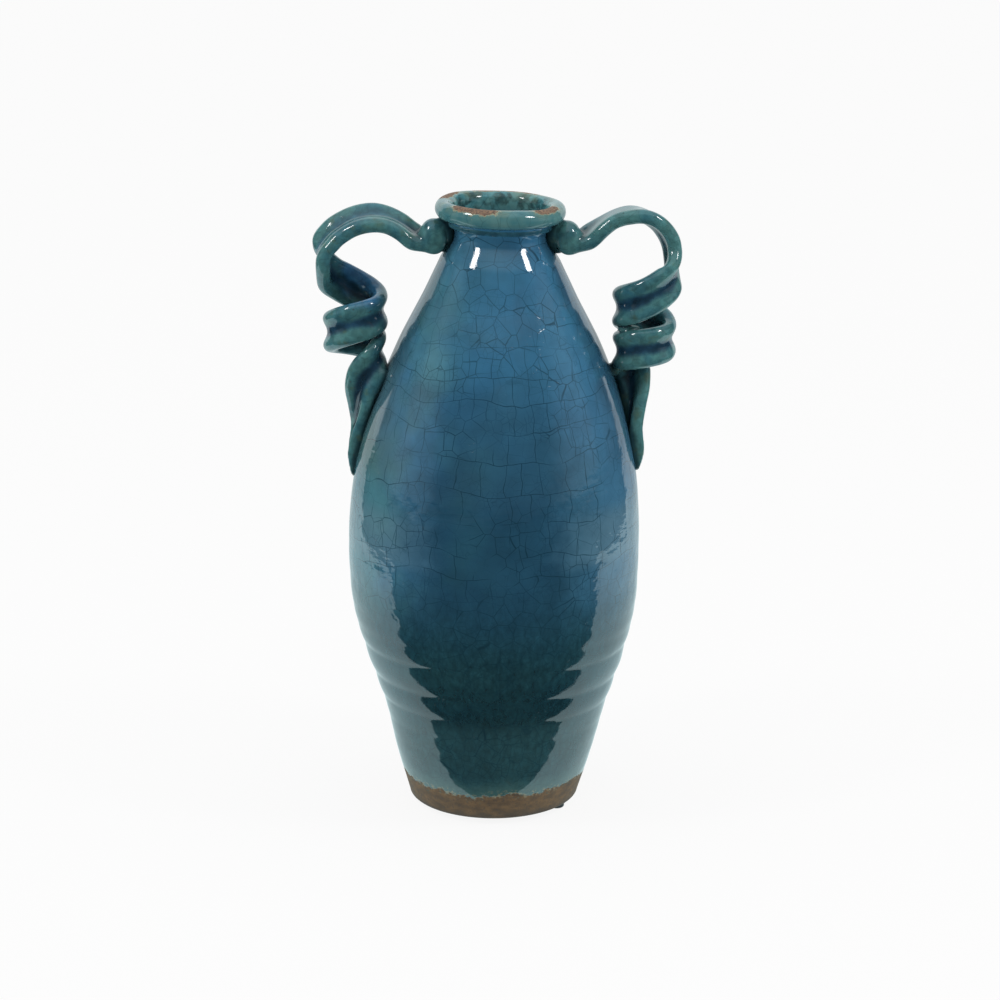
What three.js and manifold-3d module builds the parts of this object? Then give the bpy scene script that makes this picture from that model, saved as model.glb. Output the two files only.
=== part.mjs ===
// Two-handled stoneware amphora: a thrown vessel, a rolled lip coil, two pulled strap handles that curl
// once and a half round on the way down to the shoulder, and three stick-on rubber feet.
// Millimetres, +Z up. The origin lies on the surface that the feet stand on, under the middle of the width.

import * as THREE from 'three';
import { mergeVertices } from 'three/addons/utils/BufferGeometryUtils.js';
import Module from 'manifold-3d';

const wasm = await Module();
wasm.setup();

// ---------------------------------------------------------------- driving dimensions

const OVERALL_HEIGHT = 430;   // standing surface to the crest of the lip
const FOOT_RADIUS = 60;       // just above the foot's rounded edge
const FOOT_EDGE = 2.5;        // radius of that edge
const BELLY_RADIUS = 101.1;
const BELLY_HEIGHT = 180;     // height of the widest point
const NECK_RADIUS = 34;
const NECK_DROP = 25;         // from the crest of the lip down to the narrowest point
const NECK_FLARE = 4.3;       // how far the neck opens out again under the lip
const WALL = 6.5;
const FLOOR = 9;

const LIP_ROLL = 12.5;        // thickness of the rolled coil
const LIP_OVERHANG = 3.9;     // from the neck's radius out to the crest

const LIP_TIP = 0.04;         // slope of the rim, lower on the right

// The pot is not quite plumb: how far its middle has drifted to the right, by share of the overall height.
const DRIFT = [
	[0, 0], [0.1, 0.9], [0.2, 1.7], [0.32, 0.9], [0.42, 0.3],
	[0.55, 1.3], [0.74, 4.2], [0.84, 4.8], [1, 4.8],
];

const BEAD_DIAMETER = 10;     // the two round edges of a strap
const BEAD_SPACING = 17.5;
const WEB = 4.6;              // thickness of a strap between its two edges
const COIL_RADIUS = 17.7;     // to the middle of the strap
const COIL_CLOSING = 0.2;     // a coil closes in by this much each quarter turn
const WRAP_GAP = 1;           // between one wrap of a coil and the next
const FOLD_GAP = 1;           // left inside the fold at a handle's root

const PAD_HEIGHT = 4;         // clear height under the clay
const PAD_RADIUS = 5.5;
const PAD_EDGE = 1.2;         // rounding round the bottom of a pad
const PAD_SPACING = 120;      // degrees between the pads
const PAD_INSET = 8.5;        // from the foot's radius in to a pad's centre
const PAD_LEFT_INSET = 16;    // this one was stuck on further in

const FIT = 0.3;              // gap left where two pieces of clay meet

// The wall's outline, as shares of the way out and up from the foot to the belly.
const LOWER_WALL = [[0, 0], [0.235, 0.19], [0.44, 0.39], [0.715, 0.59], [0.94, 0.795], [1, 1]];

// The same, as shares of the way in and up from the belly to the neck.
const UPPER_WALL = [
	[0.01, 0.155], [0.077, 0.31], [0.23, 0.49], [0.457, 0.667], [0.72, 0.822], [0.93, 0.955], [1, 1],
];

// Fineness of the facets.
const LATHE_SEGMENTS = 48;
const PAD_SEGMENTS = 24;
const WALL_STEPS = 28;
const ROLL_STEPS = 12;
const BEAD_STEPS = 7;
const STEPS_PER_STATION = 2;

// ---------------------------------------------------------------- the lean

const drift = new THREE.CubicInterpolant(
	DRIFT.map(([share]) => share * OVERALL_HEIGHT),
	DRIFT.map(([, offset]) => offset),
	1,
);

function leanAt(height) {
	return drift.evaluate(height)[0];
}

// Above the belly each level slice tips a little more than the one below.
function tipAt(height) {
	return LIP_TIP * Math.max(0, height - BELLY_HEIGHT) / (OVERALL_HEIGHT - BELLY_HEIGHT);
}

// A level slice stays flat: it moves over and tips with the pot's axis.
function bend(geometry) {
	const position = geometry.attributes.position;
	for (let i = 0; i < position.count; i += 1) {
		const x = position.getX(i);
		const z = position.getZ(i);
		position.setX(i, x + leanAt(z));
		position.setZ(i, z - x * tipAt(z));
	}
	return geometry;
}

// ---------------------------------------------------------------- solids

function toSolid(geometry) {
	const bare = geometry.clone();
	bare.deleteAttribute('normal');
	bare.deleteAttribute('uv');
	const merged = mergeVertices(bare, 1e-4);
	const mesh = new wasm.Mesh({
		numProp: 3,
		vertProperties: new Float32Array(merged.attributes.position.array),
		triVerts: new Uint32Array(merged.index.array),
	});
	return new wasm.Manifold(mesh);
}

function toGeometry(solid) {
	const { vertProperties, triVerts } = solid.getMesh();
	const geometry = new THREE.BufferGeometry();
	geometry.setAttribute('position', new THREE.BufferAttribute(vertProperties, 3));
	geometry.setIndex(new THREE.BufferAttribute(triVerts, 1));
	geometry.computeVertexNormals();
	return geometry;
}

// Turns a profile of [radius, height] points about Z.
function turned(profile, segments = LATHE_SEGMENTS) {
	const points = profile.map(([radius, height]) => new THREE.Vector2(radius, height));
	return new THREE.LatheGeometry(points, segments).rotateX(Math.PI / 2);
}

function arc(x, y, radius, fromDegrees, toDegrees, steps) {
	const points = [];
	for (let i = 0; i <= steps; i += 1) {
		const angle = THREE.MathUtils.degToRad(fromDegrees + (toDegrees - fromDegrees) * i / steps);
		points.push([x + radius * Math.cos(angle), y + radius * Math.sin(angle)]);
	}
	return points;
}

// ---------------------------------------------------------------- vessel

const neckHeight = OVERALL_HEIGHT - NECK_DROP;
const lipSeat = OVERALL_HEIGHT - LIP_ROLL;
const seatRadius = NECK_RADIUS + NECK_FLARE;
const rollRadius = LIP_ROLL / 2;
const crestRadius = NECK_RADIUS + LIP_OVERHANG;
const mouthRadius = crestRadius - rollRadius;
const lipOuterRadius = crestRadius + rollRadius;

// Short straight lengths from just above the foot's edge up to the seat under the lip.
function wallOutline() {
	const footTop = PAD_HEIGHT + FOOT_EDGE;
	const lower = LOWER_WALL.map(([out, rise]) => new THREE.Vector2(
		THREE.MathUtils.lerp(FOOT_RADIUS, BELLY_RADIUS, out),
		THREE.MathUtils.lerp(footTop, BELLY_HEIGHT, rise),
	));
	const upper = UPPER_WALL.map(([inwards, rise]) => new THREE.Vector2(
		THREE.MathUtils.lerp(BELLY_RADIUS, NECK_RADIUS, inwards),
		THREE.MathUtils.lerp(BELLY_HEIGHT, neckHeight, rise),
	));
	const flare = new THREE.Vector2(
		NECK_RADIUS + NECK_FLARE / 4,
		THREE.MathUtils.lerp(neckHeight, lipSeat, 2 / 3),
	);
	const seat = new THREE.Vector2(seatRadius, lipSeat);
	return new THREE.SplineCurve([...lower, ...upper, flare, seat]).getPoints(WALL_STEPS);
}

const wall = wallOutline();

// The wall moved along its own normal: outwards for a positive distance.
function wallAt(distance) {
	return wall.map((point, i) => {
		const before = wall[Math.max(0, i - 1)];
		const after = wall[Math.min(wall.length - 1, i + 1)];
		const along = after.clone().sub(before).normalize();
		return [point.x + along.y * distance, point.y - along.x * distance];
	});
}

function wallRadius(height) {
	const above = wall.findIndex((point) => point.y >= height);
	const low = wall[above - 1];
	const high = wall[above];
	return THREE.MathUtils.mapLinear(height, low.y, high.y, low.x, high.x);
}

function vesselProfile() {
	const floor = PAD_HEIGHT + FLOOR;
	const footEdge = arc(FOOT_RADIUS - FOOT_EDGE, PAD_HEIGHT + FOOT_EDGE, FOOT_EDGE, -90, -30, 2);
	const inside = wallAt(-WALL).filter(([, height], i) => (
		i % 2 === 0 && height > floor + WALL && height < lipSeat - WALL
	));
	return [
		[0, PAD_HEIGHT],
		...footEdge,
		...wallAt(0),
		[mouthRadius, lipSeat],
		...inside.reverse(),
		[FOOT_RADIUS - WALL, floor + FOOT_EDGE],
		[FOOT_RADIUS - WALL - FOOT_EDGE, floor],
		[0, floor],
	];
}

// The rolled coil, flat underneath where it sits on the neck. It can be grown by a clearance all round.
function lipProfile(grow = 0) {
	const base = lipSeat + FIT - grow;
	const roll = arc(crestRadius, lipSeat + rollRadius, rollRadius + grow, -60, 180, ROLL_STEPS);
	return [
		[mouthRadius - grow, base],
		[seatRadius + grow, base],
		...roll,
		[mouthRadius - grow, base],
	];
}

// The space that the pot and its lip take up, with the gap that a handle keeps to them.
function keepOut() {
	const pot = turned([[0, PAD_HEIGHT], ...wallAt(FIT), [seatRadius + FIT, lipSeat], [0, lipSeat]]);
	const lip = turned(lipProfile(FIT));
	return toSolid(bend(pot)).add(toSolid(bend(lip)));
}

// ---------------------------------------------------------------- strap handles

// Two round edges joined by a thinner web, as [across, through] in the strap's own section.
function strapSection() {
	const half = BEAD_SPACING / 2;
	const bead = BEAD_DIAMETER / 2;
	const meets = THREE.MathUtils.radToDeg(Math.asin(WEB / BEAD_DIAMETER));
	const first = arc(half, 0, bead, meets - 180, 180 - meets, BEAD_STEPS);
	const second = arc(-half, 0, bead, meets, 360 - meets, BEAD_STEPS);
	return new THREE.Shape([...first, ...second].map(([x, y]) => new THREE.Vector2(x, y)));
}

// A route for a strap. Each station says where the strap's middle is, which way its first edge lies
// from there, and how wide and how thick the strap is, as shares of the full section. The steps are
// shared out evenly between the stations, so stations set close together make a finer stretch.
class StrapRoute extends THREE.CatmullRomCurve3 {
	constructor(stations) {
		super(stations.map(({ at }) => new THREE.Vector3(...at)));
		this.across = new THREE.CatmullRomCurve3(stations.map(({ across }) => new THREE.Vector3(...across)));
		this.size = new THREE.CatmullRomCurve3(stations.map(({ size = [1, 1] }) => new THREE.Vector3(...size, 0)));
	}

	getUtoTmapping(u) {
		return u;
	}

	computeFrenetFrames(steps) {
		const frames = { tangents: [], normals: [], binormals: [] };
		for (let i = 0; i <= steps; i += 1) {
			const tangent = this.getTangent(i / steps);
			const [width, thickness] = this.size.getPoint(i / steps).toArray();
			const across = this.across.getPoint(i / steps).projectOnPlane(tangent).normalize();
			const through = new THREE.Vector3().crossVectors(tangent, across);
			frames.tangents.push(tangent);
			frames.normals.push(across.multiplyScalar(width));
			frames.binormals.push(through.multiplyScalar(thickness));
		}
		return frames;
	}
}

const front = [0, -1, 0];
const up = [0, 0, 1];
const wrap = BEAD_SPACING + BEAD_DIAMETER + WRAP_GAP;

// The strap's end is pressed on beside the lip, turned a little to one side. It runs down the neck and
// folds back up on itself round a bend just wider than the strap is thick. clear is how far the bottom
// of the fold stands out from the lip, and drop how far it is below the crest.
function rootStations({ clear, drop, across }) {
	const out = lipOuterRadius + clear;
	const low = OVERALL_HEIGHT - drop;
	const fold = BEAD_DIAMETER / 2 + FOLD_GAP;
	const stations = [
		{ at: [out - 1, 0, lipSeat + 0.2 * LIP_ROLL], across, size: [0.7, 0.5] },
		{ at: [out - 1.6, 0, lipSeat - 1], across, size: [0.95, 0.95] },
		{ at: [out - 0.7 * fold, 0, low + 2 * fold], across: front },
	];
	for (const [r, z] of arc(out, low + fold, fold, 180, 315, 3)) {
		stations.push({ at: [r, 0, z], across: front });
	}
	return stations;
}

// The arch springs from the root and comes down on the coil's outer side. Each station gives its share
// of the way out between them, how far back it is, and how far below the crest.
function archStations(arch, from, to) {
	return arch.map(({ share, back = 0, drop, across }) => ({
		at: [THREE.MathUtils.lerp(from, to, share), back, OVERALL_HEIGHT - drop],
		across,
	}));
}

// A turn and a half of coil, clockwise from above, starting on the outer side. falls says how far the
// strap has come down at each quarter turn, as shares of one wrap. The arch runs into the first stretch.
function coilStations({ axis, flare, drop, falls }) {
	const stations = [];
	const stationsPerQuarter = 3;
	const quarters = falls.length - 1;
	const fall = new THREE.SplineCurve(falls.map((share, quarter) => new THREE.Vector2(quarter, share * wrap)));
	for (let i = 1; i <= quarters * stationsPerQuarter; i += 1) {
		const quarter = i / stationsPerQuarter;
		const angle = quarter * Math.PI / 2;
		const radius = COIL_RADIUS - COIL_CLOSING * quarter + flare * Math.max(0, 1 - quarter / 2) ** 2;
		const height = OVERALL_HEIGHT - drop - fall.getPoint(quarter / quarters).y;
		stations.push({
			at: [axis + radius * Math.cos(angle), -radius * Math.sin(angle), height],
			across: up,
		});
	}
	return stations;
}

// The tail comes round to the pot, lies down along the shoulder and fades out. Each station gives how
// far it stands out from the wall, how far back it is, and how far below the end of the coil.
function tailStations(tail, coilEnd) {
	return tail.map(({ proud, back = 0, below, across, size }) => ({
		at: [wallRadius(coilEnd - below) + proud, back, coilEnd - below],
		across,
		size,
	}));
}

const rightHandle = {
	root: { clear: 2.8, drop: 31.5, across: [-0.25, -0.97, 0] },
	arch: [
		{ share: 0.18, drop: 25, across: [0, -0.95, -0.3] },
		{ share: 0.31, drop: 18, across: [0, -0.97, -0.2] },
		{ share: 0.425, drop: 12.7, across: front },
		{ share: 0.55, drop: 10, across: front },
		{ share: 0.68, drop: 10.3, across: [0.1, -1, 0.1] },
		{ share: 0.81, drop: 14.5, across: [0.25, -0.95, 0.1] },
		{ share: 0.91, back: 1.5, drop: 22.5, across: [0.3, -0.95, 0] },
		{ share: 0.97, back: 2.5, drop: 34, across: [0.15, -1, 0.1] },
	],
	coil: { stand: 9, flare: 2.5, drop: 46, falls: [0, 0.61, 0.98, 1.33, 1.72, 1.84, 2.035] },
	tail: [
		{ proud: 10.8, back: 12.5, below: 9, across: [0.35, 0.1, 0.9] },
		{ proud: 12.3, back: 12.5, below: 18.5, across: [0.6, -0.1, 0.78] },
		{ proud: 10.5, back: 8.5, below: 28, across: [0.75, -0.35, 0.5], size: [0.9, 1] },
		{ proud: 7, back: 3.5, below: 40, across: [0.6, -0.75, 0.2], size: [0.75, 1] },
		{ proud: 3.8, below: 55, across: [0.2, -1, 0], size: [0.6, 1] },
		{ proud: 3, below: 71, across: front, size: [0.45, 0.95] },
		{ proud: -0.8, below: 86, across: front, size: [0.25, 0.5] },
	],
};

const leftHandle = {
	root: { clear: 1, drop: 30.8, across: [0.3, -0.95, 0] },
	arch: [
		{ share: 0.19, drop: 24.2, across: [0, -0.93, 0.37] },
		{ share: 0.295, drop: 18, across: [0, -0.93, 0.37] },
		{ share: 0.41, drop: 13.5, across: [0, -0.93, 0.37] },
		{ share: 0.535, drop: 11.7, across: [0, -0.9, 0.42] },
		{ share: 0.67, drop: 13, across: [0.05, -0.9, 0.44] },
		{ share: 0.8, drop: 17, across: [0.1, -0.88, 0.47] },
		{ share: 0.925, back: 2, drop: 23.7, across: [0.15, -0.86, 0.5] },
		{ share: 1.01, back: 3.5, drop: 34, across: [0.15, -0.83, 0.53] },
	],
	coil: { stand: 9.4, flare: 3.5, drop: 46, falls: [0, 0.685, 1.035, 1.23, 1.58, 1.825, 2.02] },
	tail: [
		{ proud: 10, back: 12.5, below: 6.5, across: [0.35, 0.1, 0.9] },
		{ proud: 12.5, back: 12.5, below: 16, across: [0.6, -0.1, 0.78] },
		{ proud: 11.8, back: 8.5, below: 26.5, across: [0.75, -0.35, 0.5], size: [0.9, 1] },
		{ proud: 7.8, back: 3.5, below: 40.5, across: [0.6, -0.75, 0.2], size: [0.75, 1] },
		{ proud: 4.3, below: 55.5, across: [0.2, -1, 0], size: [0.6, 1] },
		{ proud: 2.8, below: 72.5, across: front, size: [0.45, 0.95] },
		{ proud: -1, below: 90.5, across: front, size: [0.25, 0.5] },
	],
};

// A handle's stations as [out from the pot's axis, back, up], with its first edge at the front.
function handleStations({ root, arch, coil, tail }) {
	const coilEnd = OVERALL_HEIGHT - coil.drop - coil.falls.at(-1) * wrap;
	const axis = wallRadius(coilEnd) + coil.stand + COIL_RADIUS;
	const archStart = lipOuterRadius + root.clear;
	const archEnd = axis + COIL_RADIUS + coil.flare;
	return [
		...rootStations(root),
		...archStations(arch, archStart, archEnd),
		...coilStations({ ...coil, axis }),
		...tailStations(tail, coilEnd),
	];
}

const potKeepOut = keepOut();

// side is 1 for the right handle and -1 for the left, which is laid out the same way half a turn round.
function strapHandle(handle, side) {
	const stations = handleStations(handle).map(({ at: [out, back, height], across, size }) => ({
		at: [side * out + leanAt(height), side * back, height],
		across: [side * across[0], side * across[1], across[2]],
		size,
	}));
	const swept = new THREE.ExtrudeGeometry(strapSection(), {
		steps: STEPS_PER_STATION * (stations.length - 1),
		extrudePath: new StrapRoute(stations),
	});
	return toGeometry(toSolid(swept).subtract(potKeepOut));
}

// ---------------------------------------------------------------- rubber feet

function padProfile() {
	return [
		[0, 0],
		...arc(PAD_RADIUS - PAD_EDGE, PAD_EDGE, PAD_EDGE, -90, 0, 3),
		[PAD_RADIUS, PAD_HEIGHT],
		[0, PAD_HEIGHT],
	];
}

// ---------------------------------------------------------------- assembly

function piece(name, geometry, color, roughness) {
	const material = new THREE.MeshStandardMaterial({ color, roughness, metalness: 0 });
	const mesh = new THREE.Mesh(geometry, material);
	mesh.name = name;
	return mesh;
}

const amphora = new THREE.Group();
amphora.add(piece('vessel_body', bend(turned(vesselProfile())), 0x2f6788, 0.1));
amphora.add(piece('lip_ring', bend(turned(lipProfile())), 0x3a7078, 0.12));
amphora.add(piece('handle_right', strapHandle(rightHandle, 1), 0x34717a, 0.12));
amphora.add(piece('handle_left', strapHandle(leftHandle, -1), 0x34717a, 0.12));

const pads = [
	{ name: 'foot_pad_back', inset: PAD_INSET, turn: 90 },
	{ name: 'foot_pad_front_left', inset: PAD_LEFT_INSET, turn: 90 + PAD_SPACING },
	{ name: 'foot_pad_front_right', inset: PAD_INSET, turn: 90 + 2 * PAD_SPACING },
];
for (const { name, inset, turn } of pads) {
	const angle = THREE.MathUtils.degToRad(turn);
	const ring = FOOT_RADIUS - inset;
	const pad = piece(name, turned(padProfile(), PAD_SEGMENTS), 0x16171a, 0.25);
	pad.position.set(ring * Math.cos(angle), ring * Math.sin(angle), 0);
	amphora.add(pad);
}

const extent = new THREE.Box3().setFromObject(amphora);
amphora.position.x = -(extent.min.x + extent.max.x) / 2;
amphora.updateMatrixWorld();

export default amphora;
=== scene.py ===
# %% [markdown]
# # A two-handled amphora under a crackle glaze
#
# The pot is thrown stoneware, dipped in a thick glossy glaze that runs from blue to teal. The glaze has
# cracked all over into a fine net, has thinned to brown clay on the crest of the lip, and stops in a
# ragged line above a bare foot. Two pulled straps curl once and a half round beside the neck.
#
# The packed CAD model gives the sizes. Its solids are plain and faceted, so each one is replaced by a
# finer mesh of the same size, made below with numpy from the same few measurements.

# %% Load the frame
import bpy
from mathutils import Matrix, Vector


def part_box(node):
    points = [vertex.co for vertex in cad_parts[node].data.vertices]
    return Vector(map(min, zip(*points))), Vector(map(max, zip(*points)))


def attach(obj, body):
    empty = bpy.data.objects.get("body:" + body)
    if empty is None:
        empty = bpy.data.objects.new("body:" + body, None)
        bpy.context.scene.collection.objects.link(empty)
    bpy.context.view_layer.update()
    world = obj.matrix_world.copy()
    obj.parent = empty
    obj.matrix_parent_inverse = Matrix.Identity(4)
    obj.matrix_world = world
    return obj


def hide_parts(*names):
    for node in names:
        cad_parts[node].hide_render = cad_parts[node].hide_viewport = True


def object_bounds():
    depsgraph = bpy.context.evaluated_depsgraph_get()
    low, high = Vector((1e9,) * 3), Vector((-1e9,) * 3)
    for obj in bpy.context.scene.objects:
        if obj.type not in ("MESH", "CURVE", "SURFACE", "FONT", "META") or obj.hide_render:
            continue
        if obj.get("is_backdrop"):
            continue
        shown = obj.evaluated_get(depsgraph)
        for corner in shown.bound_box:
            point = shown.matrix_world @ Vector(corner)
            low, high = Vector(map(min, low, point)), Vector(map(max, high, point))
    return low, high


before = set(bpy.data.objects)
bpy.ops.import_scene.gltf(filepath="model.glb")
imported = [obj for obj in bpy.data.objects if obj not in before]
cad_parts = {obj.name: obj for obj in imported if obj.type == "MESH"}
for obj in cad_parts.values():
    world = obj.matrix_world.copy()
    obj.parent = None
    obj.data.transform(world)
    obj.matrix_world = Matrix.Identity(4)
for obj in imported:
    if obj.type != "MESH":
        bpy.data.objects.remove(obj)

cad_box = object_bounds()
print("CAD box:", [round(v, 4) for v in cad_box[0]], [round(v, 4) for v in cad_box[1]])

# %% Tools used throughout
import math

import bmesh
import bpy
import numpy as np
from mathutils import Quaternion, Vector
from mathutils.kdtree import KDTree

MM = 0.001
scene = bpy.context.scene
pad_low, pad_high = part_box("foot_pad_back")
foot_centre = (pad_low.x + pad_high.x) / 2 / MM
print("The foot's middle is at x =", round(foot_centre, 2), "mm")

# %% [markdown]
# ## Camera
#
# A long lens from nearly two metres away, a little above the pot and looking down at it, keeps the two
# flanks almost parallel, as a catalogue picture does. The lens and place are plain numbers here, because
# everything else is judged through this one view.

# %% Set up the camera
LENS_LENGTH, SENSOR_WIDTH = 103.9, 36
CAMERA_ASIDE, CAMERA_BACK, CAMERA_HEIGHT = 0.00467, 1.928, 0.7907
CAMERA_TILT = 16.52

lens = bpy.data.cameras.new("studio_camera")
lens.sensor_width = SENSOR_WIDTH
lens.lens = LENS_LENGTH
lens.clip_start, lens.clip_end = 0.05, 50
camera = bpy.data.objects.new("studio_camera", lens)
scene.collection.objects.link(camera)
camera.location = (foot_centre * MM + CAMERA_ASIDE, -CAMERA_BACK, CAMERA_HEIGHT)
camera.rotation_euler = (math.radians(90 - CAMERA_TILT), 0, 0)
scene.camera = camera
print("The camera stands", CAMERA_HEIGHT, "m up and looks down by", CAMERA_TILT, "degrees")

# %% [markdown]
# ## Writing shaders as sums
#
# A glaze is easiest to think about as arithmetic: this much blue, less where it is thin, darker in a
# crack. Blender does that arithmetic with nodes. The small class below wraps a node's output, so that
# `1 - crack * 0.4` adds the nodes it needs. Numbers use Math nodes. Colours and places in space have
# three parts, so they use Vector Math nodes instead.

# %% A value that varies over a surface
class Varying:
    def __init__(self, board, socket):
        self.board = board
        self.socket = socket

    def threefold(self):
        return self.socket.type in ("VECTOR", "RGBA")

    def sum_with(self, operation, first, second):
        if self.threefold():
            return self.board.add("ShaderNodeVectorMath", {"operation": operation}, {0: first, 1: second})[0]
        return self.board.maths(operation, first, second)

    def __add__(self, other):
        return self.sum_with("ADD", self, other)

    __radd__ = __add__

    def __sub__(self, other):
        return self.sum_with("SUBTRACT", self, other)

    def __rsub__(self, other):
        return self.sum_with("SUBTRACT", other, self)

    def __mul__(self, other):
        single = isinstance(other, (int, float)) or isinstance(other, Varying) and not other.threefold()
        if self.threefold() and single:
            settings = {"operation": "SCALE"}
            return self.board.add("ShaderNodeVectorMath", settings, {0: self, "Scale": other})[0]
        return self.sum_with("MULTIPLY", self, other)

    __rmul__ = __mul__

    def __truediv__(self, other):
        return self.sum_with("DIVIDE", self, other)

    def between(self, low, high):
        """0 below low, 1 above high, with a soft change from one to the other. low may be the larger."""
        settings = {"interpolation_type": "SMOOTHSTEP"}
        values = {"Value": self, "From Min": low, "From Max": high}
        return self.board.add("ShaderNodeMapRange", settings, values)[0]


# %% A board to lay nodes out on
class Board:
    """The node tree of one material, or of the world."""

    def __init__(self, tree):
        self.tree = tree
        tree.nodes.clear()

    def find(self, sockets, key):
        if isinstance(key, int):
            return sockets[key]
        for socket in sockets:
            if socket.identifier == key:
                return socket
        return sockets[key]

    def add(self, kind, settings=None, values=None):
        """Adds a node, sets it up, fills or links its inputs, and returns its outputs as a list."""
        node = self.tree.nodes.new(kind)
        for name, setting in (settings or {}).items():
            setattr(node, name, setting)
        for key, value in (values or {}).items():
            socket = self.find(node.inputs, key)
            if isinstance(value, Varying):
                self.tree.links.new(value.socket, socket)
            elif isinstance(value, tuple) and socket.type == "RGBA":
                socket.default_value = (*value, 1)
            else:
                socket.default_value = value
        return [Varying(self, socket) for socket in node.outputs]

    def mix(self, amount, first, second):
        """first where amount is 0 and second where it is 1. Both are colours."""
        values = {"Factor_Float": amount, "A_Color": first, "B_Color": second}
        outputs = self.add("ShaderNodeMix", {"data_type": "RGBA", "clamp_factor": True}, values)
        return next(output for output in outputs if output.socket.identifier == "Result_Color")

    def clouds(self, place, size, detail=2.0, roughness=0.5):
        """Soft random patches about size millimetres across, from 0 to 1."""
        values = {"Vector": place, "Scale": 1 / size, "Detail": detail, "Roughness": roughness}
        return self.add("ShaderNodeTexNoise", None, values)[0]

    def maths(self, operation, *values):
        """A Math node, by the name of its operation."""
        return self.add("ShaderNodeMath", {"operation": operation}, dict(enumerate(values)))[0]

    def parts(self, vector):
        """The x, y and z of a vector, as three numbers."""
        return self.add("ShaderNodeSeparateXYZ", None, {"Vector": vector})

    def stored(self, name):
        """A number kept with each point of the mesh."""
        return self.add("ShaderNodeAttribute", {"attribute_name": name})[2]

    def scatter(self, place, amount, size):
        """place pushed about by up to amount millimetres, in eddies of the given size."""
        values = {"Vector": place, "Scale": 1 / size, "Detail": 2.0}
        push = self.add("ShaderNodeTexNoise", None, values)[1]
        return place + (push - (0.5, 0.5, 0.5)) * (2 * amount)


def new_material(name):
    """An empty material, and the board to build it on."""
    material = bpy.data.materials.new(name)
    material.use_nodes = True
    return material, Board(material.node_tree)


print("A board can", ", ".join(name for name in vars(Board) if not name.startswith("_")))

# %% [markdown]
# ## Smooth curves
#
# The wall's outline and the handles' routes are both a short list of points with a smooth curve through
# them. The same kind of curve is used as in the CAD model, so the two agree. It is a Catmull-Rom spline:
# it passes through every point, and its direction there follows the neighbours on both sides.

# %% A curve through points
def smooth_curve(points, samples, even_knots=False):
    """Points spread along the curve, as many between any two of the given points."""
    points = np.asarray(points, float)
    if even_knots:
        first, last = points[0], points[-1]
    else:
        first, last = 2 * points[0] - points[1], 2 * points[-1] - points[-2]
    padded = np.vstack([first, points, last])
    along = np.linspace(0, len(points) - 1, samples)
    start = np.minimum(along.astype(int), len(points) - 2)
    t = (along - start)[:, None]
    p0, p1, p2, p3 = (padded[start + k] for k in range(4))
    if even_knots:
        gap0 = gap1 = gap2 = np.ones_like(t)
    else:
        gap0, gap1, gap2 = (
            np.maximum(np.linalg.norm(b - a, axis=1), 1e-4)[:, None] ** 0.5
            for a, b in ((p0, p1), (p1, p2), (p2, p3))
        )
    leave = ((p1 - p0) / gap0 - (p2 - p0) / (gap0 + gap1) + (p2 - p1) / gap1) * gap1
    arrive = ((p2 - p1) / gap1 - (p3 - p1) / (gap1 + gap2) + (p3 - p2) / gap2) * gap1
    return (
        p1 * (2 * t**3 - 3 * t**2 + 1)
        + leave * (t**3 - 2 * t**2 + t)
        + p2 * (3 * t**2 - 2 * t**3)
        + arrive * (t**3 - t**2)
    )


def evenly(points, spacing):
    """The same line with its points a set distance apart."""
    steps = np.linalg.norm(np.diff(points, axis=0), axis=1)
    run = np.concatenate([[0], np.cumsum(steps)])
    count = max(2, int(round(run[-1] / spacing)) + 1)
    wanted = np.linspace(0, run[-1], count)
    return np.column_stack([np.interp(wanted, run, column) for column in points.T])


hill = smooth_curve([[0, 0], [10, 8], [20, 0]], 60)
print("A curve over a hill 8 mm high, cut every 2 mm, has", len(evenly(hill, 2)), "points")

# %% [markdown]
# ## Unevenness from the hand
#
# A thrown wall keeps the traces of the potter's fingers, as shallow rings that climb as the wheel turns.
# They hardly show as shape, but the reflections on a glossy glaze break up along them. A few sine waves
# of different lengths, added together, make a ripple that never quite repeats, and is the same each run.

# %% A ripple that doesn't repeat
def ripple(u, v, length, seed):
    """Waves about length across in both directions, between -1 and 1. v may be zero."""
    chance = np.random.default_rng(seed)
    total = np.zeros(np.broadcast(u, v).shape)
    for _ in range(6):
        angle = chance.uniform(0, 2 * math.pi)
        scale = 2 * math.pi / (length * chance.uniform(0.65, 1.6))
        phase = chance.uniform(0, 2 * math.pi)
        total = total + np.sin((u * math.cos(angle) + v * math.sin(angle)) * scale + phase)
    return total / 6


def fade(value, start, stop):
    """0 at start and 1 at stop, in a straight line between them and level beyond."""
    return np.clip((value - start) / (stop - start), 0, 1)


sample = ripple(np.linspace(0, 1000, 4000), 0, 40, 1)
print("A metre of ripple runs from", round(float(sample.min()), 2), "to", round(float(sample.max()), 2))

# %% [markdown]
# ## From a grid of points to a mesh
#
# Every clay piece here is a grid: rows along the piece and columns round it. The faces are the squares of
# that grid, and each end closes with a fan to one point. Building the lists in numpy is quick and keeps
# the mesh free of stray faces.

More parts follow.
